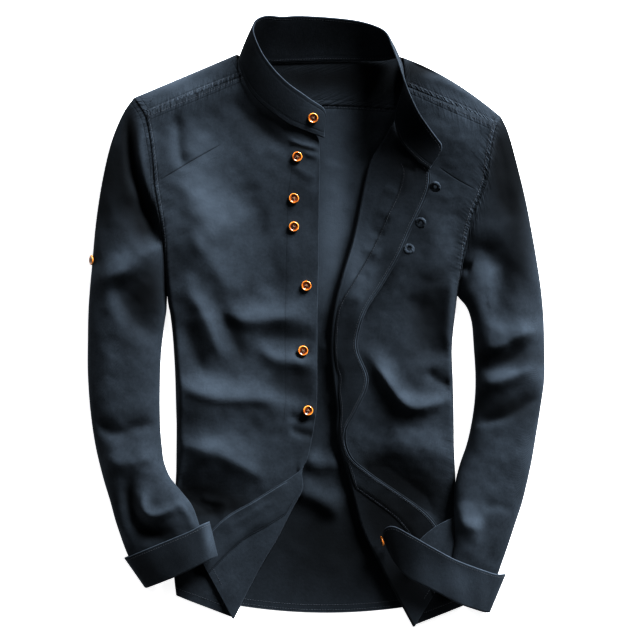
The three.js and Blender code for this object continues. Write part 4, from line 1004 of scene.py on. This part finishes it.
rightSleeveLook = {
    "rings": [
        (220, 243, 169, 29, 22, 0.7, 0.7), (229, 223, 169.5, 28, 23, 0.7, 0.7),
        (240, 184, 170.5, 27, 24, 0.7, 0.7), (250, 144, 172.5, 25, 25, 0.7, 0.7),
        (258, 104, 175, 22.5, 25, 0.7, 0.7), (264, 70, 178.5, 18.5, 25, 0.7, 0.7),
        (269, 36, 183, 10, 25, 0.7, 0.7), (272, 2, 187, -6, 25, 0.7, 0.7),
        (273, -34, 189, -32, 24, 0.7, 0.7), (273, -70, 191, -64, 24, 0.7, 0.7),
        (268.5, -104, 190.5, -92, 24, 0.7, 0.7), (263, -138, 187, -120, 24, 0.7, 0.7),
        (258, -168, 181, -148, 24, 0.7, 0.7), (252, -196, 172, -174, 23, 0.8, 3),
        (246, -220, 166, -198, 22, 1.2, 8), (238, -244, 164.5, -222, 20, 2, 12),
        (230, -268, 165, -243, 18, 2.8, 13.5), (222, -291, 165, -264, 15, 2.8, 15),
        (215, -311, 161.5, -285, 11, 2.7, 15.5), (208.5, -328, 158, -304, 8, 2.8, 16),
    ],
    "folds": [
        ([(210, 240), (222, 200), (228, 156), (232, 112)], -7, 16, 14, 1.8),
        ([(172, 88), (204, 80), (222, 56), (214, 18), (202, -8)], -8, 16, 20, 1.7),
        ([(166, 66), (186, 60)], -6, 6, 6, 1.8),
        ([(174, 34), (184, 8), (188, -20), (200, -38)], -4.5, 5, 5, 1.8),
        ([(180, -27), (212, -33), (238, -21), (276, -4)], 10, 30, 8, 1.5),
        ([(184, -54), (206, -58), (230, -48), (264, -24)], -4.5, 8, 8, 1.8),
        ([(180, -79), (214, -74), (240, -64), (276, -48)], 8.5, 15, 10, 1.6),
        ([(176, -125), (220, -119), (248, -104), (276, -86)], -7, 12, 4, 1.7),
        ([(196, -224), (216, -222), (240, -230)], -2, 8, 6, 1.8),
        ([(162, -216), (172, -242), (200, -252)], 6, 12, 11, 1.7),
    ],
    "seed": 33,
    # painted shade in the hollows and creases and painted light on the lit ridges
    "wash": [
        (228, 185, 34, 80, -1.0), (203, 44, 18, 34, 0.65), (242, 78, 16, 60, -0.60), (226, -8, 40, 13, 0.34),
        (226, -45, 38, 9, -0.80), (236, -64, 34, 8, 0.34), (228, -104, 42, 17, -0.75), (225, -152, 38, 20, 0.20),
        (176, -240, 22, 20, 0.60),
    ],
}


def sleeveGrid(look, armhole, away):
    t = steps(count(190), 0.0008)
    rings = through(look["rings"], t)
    number = len(look["rings"]) - 1
    seam = (1 - smooth(t * number / 5))[:, None]
    first = np.array(look["rings"][0], float)
    half = np.hypot(rings[:, 2] - rings[:, 0], rings[:, 3] - rings[:, 1])[:, None] / 2
    spread = lambda n: np.sin((np.linspace(0, 1, n) - 0.5) * math.pi * 0.94) / math.sin(math.pi * 0.47)

    def layer(c, isTop):
        c = c[None, :]
        q = (c + 1) / 2
        hole = through(armhole, q[0])[None, :, :]
        x = mix(rings[:, 0:1], rings[:, 2:3], q) + seam * (hole[..., 0] + away - mix(first[0], first[2], q))
        y = mix(rings[:, 1:2], rings[:, 3:4], q) + seam * (hole[..., 1] - mix(first[1], first[3], q))
        base = np.maximum(layout["floorHeight"], mix(rings[:, 5:6], rings[:, 6:7], smooth(q)))
        rounded = layout["roundedSide"]
        if not isTop:
            side = np.clip((np.abs(c) - 1 + 2 * rounded / half) / (2 * rounded / half), 0, 1)
            return np.stack([x, y, base + rounded * (1 - np.sqrt(1 - side**2))], axis=2)
        dome = base + rounded + (rings[:, 4:5] - rounded) * np.sqrt(np.clip(1 - np.abs(c) ** 2.6, 0, 1))
        fade = (1 - c**4) * smooth(t * number / 0.7)[:, None] * smooth((1 - t) * 9)[:, None]
        lift = calmed(x, y) * relief(look["folds"], x, y) + softWaves(x, y, look["seed"], (60.0, 30.0, 15.0), 1.3)
        return np.stack([x, y, mix(dome, np.broadcast_to(hole[..., 2], dome.shape), seam) + fade * lift], axis=2)

    top = layer(spread(count(60)), True)
    bottom = layer(-spread(count(42))[1:-1], False)
    grid = np.concatenate([top, bottom], axis=1)
    return tucked(grid, lambda z: (10 - z) * 0.18, (-math.copysign(1.0, away), 0.0, 0.0))


def sleeveValues(grid, look):
    along = lengths(grid, 0)
    around = lengths(grid, 1)
    far = np.full(along.shape, 90.0)
    seam = np.maximum(0.0, along - layout["allowance"])
    x, y = grid[..., 0], grid[..., 1]
    return {"rim": along[-1:] - along, "seam": seam, "way": around, "dart": far, "dartShare": 0 * far,
            "rope": 0 * far + 0.12, "wash": paintedShadeAndFadeAt(look["wash"], x, y, relief(look["folds"], x, y))}


sleeves = {}
for side, look, armhole, away in (
    ("left", leftSleeveLook, leftArmhole, -1.0),
    ("right", rightSleeveLook, rightArmhole, 1.0),
):
    grid = sleeveGrid(look, armhole, away)
    sleeves[side] = clothWall(f"{side}_sleeve_cloth", grid, twill, wallOne, True, sleeveValues(grid, look))
    look["grid"] = grid
print("sleeves made")

# Cuffs. Columns: free edge x, y, z, fold x, y, z, and the way the outside faces
leftCuffLook = {
    "stations": [
        (-231, -286, 7, -206, -322, 6, -1, 0, 0.1), (-226, -284, 17, -201, -320, 14, -0.6, 0, 0.8),
        (-206, -275, 28, -184, -313, 24, -0.1, 0, 1), (-178, -263, 34, -163, -304, 30.5, 0, 0, 1),
        (-152, -252, 37.5, -143, -294, 33.5, 0, 0, 1), (-137, -244, 37, -127, -286, 33, 0.5, 0, 0.9),
        (-129, -241, 28, -119, -283, 25, 1, 0, 0), (-133, -243, 21, -123, -284, 20, 0.3, 0, -1),
        (-156, -253, 15.5, -145, -294, 15.5, 0, 0, -1), (-182, -265, 7, -168, -306, 9, 0, 0, -1),
        (-218, -281, 1, -194, -318, 1, 0, 0, -1), (-228, -285, 2, -203, -321, 2, -0.7, 0, -0.7),
    ],
    "closed": True,
    # painted shade on the cuff's lower part and painted light on its turned end
    "wash": [(-178, -286, 46, 22, -0.30), (-130, -262, 8, 22, 0.35)],
}
rightCuffLook = {
    "stations": [
        (79, -259, 24, 83, -270, 17, -0.9, -0.3, 0.2), (81, -249, 31, 87, -280, 20, -0.7, -0.2, 0.7),
        (92, -246, 37, 94, -292, 24, -0.2, 0, 1), (112, -256, 39, 110, -309, 27, 0, 0, 1),
        (138, -271, 38, 138, -323, 27, 0, 0, 1), (166, -286, 36, 168, -339, 24, 0, 0, 1),
        (194, -297, 31, 189, -347, 18, 0.1, 0, 1), (214, -304, 23, 201, -351, 12, 0.5, 0, 0.9),
        (226, -305, 12, 207, -352, 7, 1, 0, 0.1), (219, -307, 3, 203, -351, 2.5, 0.5, 0, -0.9),
        (204, -301, 1, 194, -348, 1, 0, 0, -1), (186, -296, 1, 185, -344, 1, 0, 0, -1),
    ],
    "closed": False,
    # painted shade at the cuff's near end and painted light on its middle
    "wash": [(92, -272, 18, 34, -0.50), (166, -310, 46, 28, 0.65)],
}


def cuffGrid(look):
    stations = look["stations"] + look["stations"][:1] if look["closed"] else look["stations"]
    number = count(150)
    j = np.linspace(0, 1, number, endpoint=not look["closed"])
    s = through(stations, j)
    top, low, face = s[:, 0:3], s[:, 3:6], s[:, 6:9]
    face = face / np.linalg.norm(face, axis=1, keepdims=True)
    down = low - top
    down /= np.linalg.norm(down, axis=1, keepdims=True)
    rows = []
    for up in (0.2, 0.14, 0.07):
        rows.append(mix(low, top, up) - face * 2.6)
    for angle in np.linspace(0, math.pi, 9)[1:-1]:
        rows.append(mix(low, top, 0.04) - face * 1.3 * (1 + math.cos(angle)) + down * 1.0 * math.sin(angle))
    for up in mix(0.05, 1.0, steps(count(26), 0.02)):
        rows.append(mix(low, top, up))
    grid = np.stack(rows)
    grid[9:, :, 2] += 0.35 * np.sin(np.linspace(0, math.pi, len(grid) - 9))[:, None] * np.sin(j * 47)[None, :]
    return grid


cuffs = {}
for side, look in (("left", leftCuffLook), ("right", rightCuffLook)):
    grid = cuffGrid(look)
    along, around = lengths(grid, 0), lengths(grid, 1)
    far = np.full(along.shape, 90.0)
    values = {"rim": along[-1:] - along, "seam": far, "way": around, "dart": far, "dartShare": 0 * far, "rope": 0 * far,
              "wash": paintedShadeAndFadeAt(look["wash"], grid[..., 0], grid[..., 1])}
    cuffs[side] = clothWall(f"{side}_cuff_cloth", grid, twillInside, 1.3, look["closed"], values)
    look["grid"] = grid

slitLook = {
    "cuts": [
        (163.8, -236, 17, 156, -240, 19.5), (163.5, -244, 18, 142, -247, 21),
        (163.8, -256, 19, 124, -262, 22), (163.3, -272, 20, 114, -280, 21), (163, -288, 20, 118, -294, 20),
    ],
}
cuts = through(slitLook["cuts"], steps(count(40), 0.01))
share = steps(count(30), 0.01)[None, :, None]
slitGrid = cuts[:, None, 0:3] + (cuts[:, 3:6] - cuts[:, 0:3])[:, None] * share
slitFlap = clothWall("right_slit_flap_cloth", slitGrid, twill, wallOne, values=stripValues(slitGrid))

collarLook = {
    # seam x, y, z, top x, y, z
    "stations": [
        (8, 219.5, 13.8, 12, 252, 15), (-14.5, 227.5, 15.3, -5, 262, 20), (-33.6, 235.6, 17.2, -17, 270, 25),
        (-52, 248, 19.4, -33, 281, 29), (-70, 262.8, 21.2, -49, 296, 33), (-83, 279.5, 22.6, -63, 314, 36),
        (-90, 296, 22.8, -72, 332, 36), (-94, 308.5, 18.6, -76, 347, 31), (-90, 314, 9.5, -72, 358, 28.5),
        (-78, 313.5, 4, -60, 363, 26), (-56, 310.5, 3, -42, 362, 24), (-20, 311.5, 3, -20, 363, 23),
        (16, 312.5, 3, 16, 361, 23), (52, 312.5, 3, 48, 357, 25), (80, 312.5, 4.5, 71, 350, 29),
        (95, 315, 10, 83, 341, 35), (101, 308, 17, 89, 326, 43), (103, 296, 20.2, 96, 306, 54),
        (104, 282, 21.2, 103, 284, 58), (99.5, 266, 20, 110, 266, 56), (93, 243, 20, 119, 248, 52),
        (100, 215, 26.4, 130, 232, 47), (117, 194, 31.2, 142, 216, 44), (134, 180, 35.2, 151, 205, 42),
    ],
    "corner": 9.0,
    # painted shade on the collar's inner face and band: middle x, y, reach x, y and share
    "wash": [(0, 338, 78, 22, -0.65), (-50, 285, 40, 44, -0.42), (118, 238, 26, 66, -1.0), (-80, 330, 16, 40, -0.4)],
}


def collarGrid():
    t = steps(count(230), 0.0006)
    s = through(collarLook["stations"], t)
    seam, top = s[:, 0:3], s[:, 3:6]
    run = np.concatenate([[0.0], np.cumsum(np.linalg.norm(np.diff(seam + top, axis=0), axis=1) / 2)])
    toEnd = np.minimum(run, run[-1] - run)
    height = np.linalg.norm(top - seam, axis=1)
    radius = collarLook["corner"]
    near = np.clip(1 - toEnd / radius, 0, 1)
    reach = 1 - (1 - np.sqrt(1 - near**2)) * np.minimum(1.0, radius / height)
    share = steps(count(26), 0.01)
    grid = seam[:, None] + (top - seam)[:, None] * (reach[:, None, None] * share[None, :, None])
    bulge = np.sin(share * math.pi)[None, :, None] * 0.9 * smooth(toEnd / 14)[:, None, None]
    grid = grid + normalsOf(grid) * bulge
    return np.swapaxes(grid, 0, 1)


collarPoints = collarGrid()
across, along = lengths(collarPoints, 1), lengths(collarPoints, 0)
far = np.full(along.shape, 90.0)
collarRim = np.minimum(along[-1:] - along, np.minimum(across, across[:, -1:] - across))
collarPaintedShadeAndFade = paintedShadeAndFadeAt(collarLook["wash"], collarPoints[..., 0], collarPoints[..., 1])
# the collar's sewn lines are drawn dark in the colour: painted shade in their grooves
collarSewn = np.minimum(np.abs(along - 5.5), np.abs(along[-1:] - along - 4.0))
collarValues = {"rim": collarRim, "seam": far, "way": across, "dart": collarSewn, "dartShare": 0 * far + 0.8, "rope": 0 * far,
                "wash": collarPaintedShadeAndFade}
collar = clothWall("collar_cloth", collarPoints, twill, layout["collarThickness"], values=collarValues)
print("cuffs, flap and collar made")


# Buttons: the place and the way each faces are read from its CAD node

buttonLook = {
    "radius": 6.2,
    "height": 2.5,
    "profile": [
        (0.0, 0.0), (4.9, 0.0), (5.6, 0.35), (6.1, 0.95), (6.2, 1.5), (6.05, 2.05), (5.6, 2.42), (5.15, 2.5),
        (4.7, 2.38), (4.3, 2.02), (3.9, 1.72), (3.2, 1.6), (1.6, 1.55), (0.0, 1.55),
    ],
    "holeSpacing": 1.3,
    "holeRadius": 0.72,
    "threadRadius": 0.32,
}


def lathe(profile, sides):
    angle = np.linspace(0, 2 * math.pi, sides, endpoint=False)
    vertices, faces = [(0.0, 0.0, profile[0][1])], []
    for radius, height in profile[1:-1]:
        vertices += [(radius * math.cos(a), radius * math.sin(a), height) for a in angle]
    vertices.append((0.0, 0.0, profile[-1][1]))
    last = len(vertices) - 1
    for k in range(sides):
        k2 = (k + 1) % sides
        faces.append((0, 1 + k2, 1 + k))
        for n in range(len(profile) - 3):
            a, b = 1 + n * sides, 1 + (n + 1) * sides
            faces.append((a + k, a + k2, b + k2, b + k))
        a = 1 + (len(profile) - 3) * sides
        faces.append((a + k, a + k2, last))
    return vertices, faces


def tube(path, radius, sides=8, closed=False):
    path = np.asarray(path, float)
    ahead = np.roll(path, -1, axis=0) - np.roll(path, 1, axis=0)
    if not closed:
        ahead[0], ahead[-1] = path[1] - path[0], path[-1] - path[-2]
    ahead /= np.linalg.norm(ahead, axis=1, keepdims=True)
    up = np.cross(ahead, np.array([0.31, 0.17, 0.93]))
    up /= np.linalg.norm(up, axis=1, keepdims=True)
    side = np.cross(ahead, up)
    angle = np.linspace(0, 2 * math.pi, sides, endpoint=False)
    radius = np.broadcast_to(radius, (len(path),))
    ring = path[:, None] + radius[:, None, None] * (
        up[:, None] * np.cos(angle)[None, :, None] + side[:, None] * np.sin(angle)[None, :, None]
    )
    vertices = ring.reshape(-1, 3).tolist()
    faces = []
    total = len(path)
    for n in range(total if closed else total - 1):
        for k in range(sides):
            a, b = n * sides, ((n + 1) % total) * sides
            faces.append((a + k, a + (k + 1) % sides, b + (k + 1) % sides, b + k))
    if not closed:
        faces.append(tuple(range(sides))[::-1])
        faces.append(tuple((total - 1) * sides + k for k in range(sides)))
    return vertices, faces


def buttonMesh():
    look = buttonLook
    vertices, faces = lathe(look["profile"], 48)
    disc = bpy.data.meshes.new("button_disc")
    disc.from_pydata(vertices, [], faces)
    body = bpy.data.objects.new("button_disc", disc)
    bpy.context.scene.collection.objects.link(body)
    drills = []
    for x in (1, -1):
        for y in (1, -1):
            pipe, sides = tube([(0, 0, -2), (0, 0, 6)], look["holeRadius"], 14)
            drill = bpy.data.meshes.new("button_drill")
            drill.from_pydata([(a + x * look["holeSpacing"], b + y * look["holeSpacing"], c) for a, b, c in pipe], [], sides)
            tool = bpy.data.objects.new("button_drill", drill)
            bpy.context.scene.collection.objects.link(tool)
            cut = body.modifiers.new("hole", "BOOLEAN")
            cut.operation, cut.solver, cut.object = "DIFFERENCE", "EXACT", tool
            drills.append(tool)
    done = body.evaluated_get(bpy.context.evaluated_depsgraph_get())
    mesh = done.to_mesh()
    points = np.array([v.co[:] for v in mesh.vertices])
    polygons = [tuple(p.vertices) for p in mesh.polygons]
    done.to_mesh_clear()
    for thing in drills + [body]:
        data = thing.data
        bpy.data.objects.remove(thing)
        bpy.data.meshes.remove(data)
    return points, polygons


def turned(points, facing, twist):
    # points that stand on z = 0, turned so that z points along facing
    x = np.cross([0.0, 1.0, 0.0], facing)
    x /= np.linalg.norm(x)
    y = np.cross(facing, x)
    x, y = x * math.cos(twist) + y * math.sin(twist), y * math.cos(twist) - x * math.sin(twist)
    points = np.asarray(points)
    return points[:, :1] * x + points[:, 1:2] * y + points[:, 2:] * facing


discPoints, discFaces = buttonMesh()
threadPaths = []
spacing = buttonLook["holeSpacing"]
for (x0, y0), (x1, y1) in (((-1, -1), (1, 1)), ((-1, 1), (1, -1))):
    for offset in (-0.22, 0.22):
        ends = np.array([[x0, y0], [x1, y1]]) * spacing + np.array([offset * -y1, offset * x1]) * 0.7
        path = [(*ends[0], 0.9), (*ends[0] * 0.96, 1.6), (*(ends[0] * 0.5 + ends[1] * 0.0), 1.98)]
        path += [(*(ends[1] * 0.5), 1.98), (*ends[1] * 0.96, 1.6), (*ends[1], 0.9)]
        threadPaths.append(through(path, np.linspace(0, 1, 13)))
for number, node in enumerate(buttonNames):
    base, facing3, _ = poseOf(node)
    twist = 0.9 * number
    points, faces, kinds = [turned(discPoints, facing3, twist) + base], list(discFaces), [0] * len(discFaces)
    rim = [np.clip((np.hypot(discPoints[:, 0], discPoints[:, 1]) - 3.4) / 2.4, 0, 1)]
    total = len(discPoints)
    for path in threadPaths:
        pipe, sides = tube(path, buttonLook["threadRadius"], 7)
        points.append(turned(pipe, facing3, twist) + base)
        faces += [tuple(total + k for k in face) for face in sides]
        kinds += [1] * len(sides)
        rim.append(np.zeros(len(pipe)))
        total += len(pipe)
    piece = addMesh(f"{node}_disc", np.concatenate(points), faces, amber, {"rim": np.concatenate(rim)})
    piece.data.materials.append(buttonThread.material)
    piece.data.polygons.foreach_set("material_index", kinds)
    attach(piece, "root")
    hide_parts(node)
print("buttons made")

# Rolled cloth loops at the folded-back edge
loopLook = {"radius": 4.5, "cord": 2.3, "twists": 9}
for number in (1, 2, 3):
    node = f"loop_{number}"
    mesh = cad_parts[node].data
    cadPoints = np.array([v.co[:] for v in mesh.vertices]) * 1000 - np.array(layout["shift"])
    centre = cadPoints.mean(axis=0)
    _, _, axes = np.linalg.svd(cadPoints - centre, full_matrices=False)
    angle = np.linspace(0, 2 * math.pi, count(56), endpoint=False)
    path = centre + loopLook["radius"] * (np.outer(np.cos(angle), axes[0]) + np.outer(np.sin(angle), axes[1]))
    swell = loopLook["cord"] * (1 + 0.07 * np.sin(angle * 3 + number))
    pipe, sides = tube(path, swell, 18, closed=True)
    turn = np.repeat(angle, 18)
    ring = np.tile(np.linspace(0, 2 * math.pi, 18, endpoint=False), len(angle))
    pipe = np.array(pipe)
    fold = 0.16 * np.sin(ring * 2 + turn * loopLook["twists"])
    pipe += (pipe - np.repeat(path, 18, axis=0)) * fold[:, None] * 0.5
    far = np.full(len(pipe), 90.0)
    edge = 1.2 + 1.2 * np.sin(ring + turn * 2)
    values = {"rim": edge, "seam": far, "way": turn * 5, "dart": far, "dartShare": 0 * far, "rope": 0 * far,
              "wash": 0 * far}
    cloth = np.stack([turn * 4.5, ring * 2.3], axis=1)
    piece = addMesh(f"{node}_cord", pipe, sides, twill, values, cloth)
    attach(piece, "root")
    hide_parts(node)
print("loops made")

# Stitches
leftTop, rightTop = topNormals(leftGrid), normalsOf(rightGrid)
yokeTop = topNormals(yokePoints)


def along(grid, distance, side, keep=None, upwards=True, closed=False):
    points, normals = insetLine(grid, topNormals(grid, closed, upwards), distance, side)
    if keep is not None:
        mask = keep(points)
        points, normals = points[mask], normals[mask]
    return points, normals


leftStitches = addStitches("left_front_stitches", [
    along(leftGrid, 5.0, "left", lambda p: p[:, 1] > 40),
    along(leftGrid, 5.0, "top"),
    along(leftGrid, 9.0, "low", lambda p: p[:, 0] < -112),
], navyThread, leftFront)
rightStitches = addStitches("right_front_stitches", [
    along(rightGrid, 5.0, "left", lambda p: p[:, 1] > 40),
    along(rightGrid, 5.0, "top"),
    along(rightGrid, 9.0, "low", lambda p: p[:, 0] > 128),
], navyThread, rightFront)
yokeStitches = addStitches("yoke_stitches", [
    along(yokePoints, 4.0, "top"),
    along(yokePoints, 4.0, "low"),
], navyThread, yoke)
facingStitches = addStitches("right_facing_stitches", [
    along(rightFacingGrid, 2.2, "left"),
    along(rightFacingGrid, 2.2, "right"),
], navyThread, rightFacing)
collarStitches = addStitches("collar_stitches", [
    along(collarPoints, 3.0, "low", upwards=False) + ({"lift": 1.05},),
    along(collarPoints, 2.5, "top", upwards=False) + ({"lift": 1.05},),
], navyThread, collar)
cuffStitches = {
    side: addStitches(f"{side}_cuff_stitches", [
        along(look["grid"], 3.0, "low", lambda p: p[:, 2] > 12, upwards=True, closed=look["closed"])
        + ({"lift": 0.65},),
    ], navyThread, cuffs[side])
    for side, look in (("left", leftCuffLook), ("right", rightCuffLook))
}
backStitches = addStitches("back_stitches", [
    along(backPoints, 9.0, "low"),
    along(backPoints, 3.0, "low"),
    along(backPoints, 4.0, "top"),
], navyThread, back)
print("stitches made")

dress(back, ["back"])
dress(yoke, ["yoke"])
dress(leftFront, ["left_front"])
dress(rightFront, ["right_front"])
dress(leftFacing, ["left_facing"])
dress(rightFacing, ["right_facing"])
dress(collar, ["collar"])
dress(sleeves["left"], ["left_sleeve"])
dress(sleeves["right"], ["right_sleeve"])
dress(cuffs["left"], ["left_cuff"])
dress(cuffs["right"], ["right_cuff"])
dress(slitFlap, ["right_slit_flap"])

# Floor, light and camera
studio = {
    "frameWidth": 0.768,  # width of the picture on the shirt, in metres
    "centre": (0.004545, 0.002295, 0.012),
    "height": 3.0,
    "sensor": 36.0,
    "key": {"from": (0.57, 0.82, 0.40), "strength": 16.5, "spread": 26.0},
    "side": {"from": (-0.5, 0.6, 0.9), "strength": 0.25, "spread": 40.0},
    "air": 0.09,
    "table": 0.9,  # glow of the pale table
    "contrast": 0.70,  # tone curve of the photograph, even at 1
}
floorMesh = bpy.data.meshes.new("floor")
reach = 3.0
floorMesh.from_pydata([(-reach, -reach, 0), (reach, -reach, 0), (reach, reach, 0), (-reach, reach, 0)], [], [(0, 1, 2, 3)])
floor = bpy.data.objects.new("floor", floorMesh)
bpy.context.scene.collection.objects.link(floor)
paper = Finish("palePaper")
paper.set(Base_Color=colour(0.86, 0.86, 0.87), Roughness=0.9, Specular_IOR_Level=0.1)
paper.set(Emission_Color=colour(1.0, 1.0, 1.0), Emission_Strength=studio["table"])
floorMesh.materials.append(paper.material)


def softLight(name, look):
    # a wide, even softbox that stands far off
    data = bpy.data.lights.new(name, "SUN")
    data.energy = look["strength"]
    data.angle = math.radians(look["spread"])
    lamp = bpy.data.objects.new(name, data)
    lamp.location = look["from"]
    lamp.rotation_euler = lamp.location.to_track_quat("Z", "Y").to_euler()
    bpy.context.scene.collection.objects.link(lamp)


softLight("keyLight", studio["key"])
softLight("sideLight", studio["side"])
world = bpy.data.worlds.new("studioAir")
world.use_nodes = True
world.node_tree.nodes["Background"].inputs["Color"].default_value = (1.0, 1.0, 1.0, 1.0)
world.node_tree.nodes["Background"].inputs["Strength"].default_value = studio["air"]
bpy.context.scene.world = world
cameraData = bpy.data.cameras.new("photoCamera")
cameraData.sensor_width = studio["sensor"]
drop = studio["height"] - studio["centre"][2]
cameraData.lens = studio["sensor"] * drop / studio["frameWidth"]
camera = bpy.data.objects.new("photoCamera", cameraData)
camera.location = (studio["centre"][0], studio["centre"][1], studio["height"])
bpy.context.scene.collection.objects.link(camera)
bpy.context.scene.camera = camera
bpy.context.scene.view_settings.view_transform = "Standard"
bpy.context.scene.view_settings.gamma = studio["contrast"]
print("studio made")
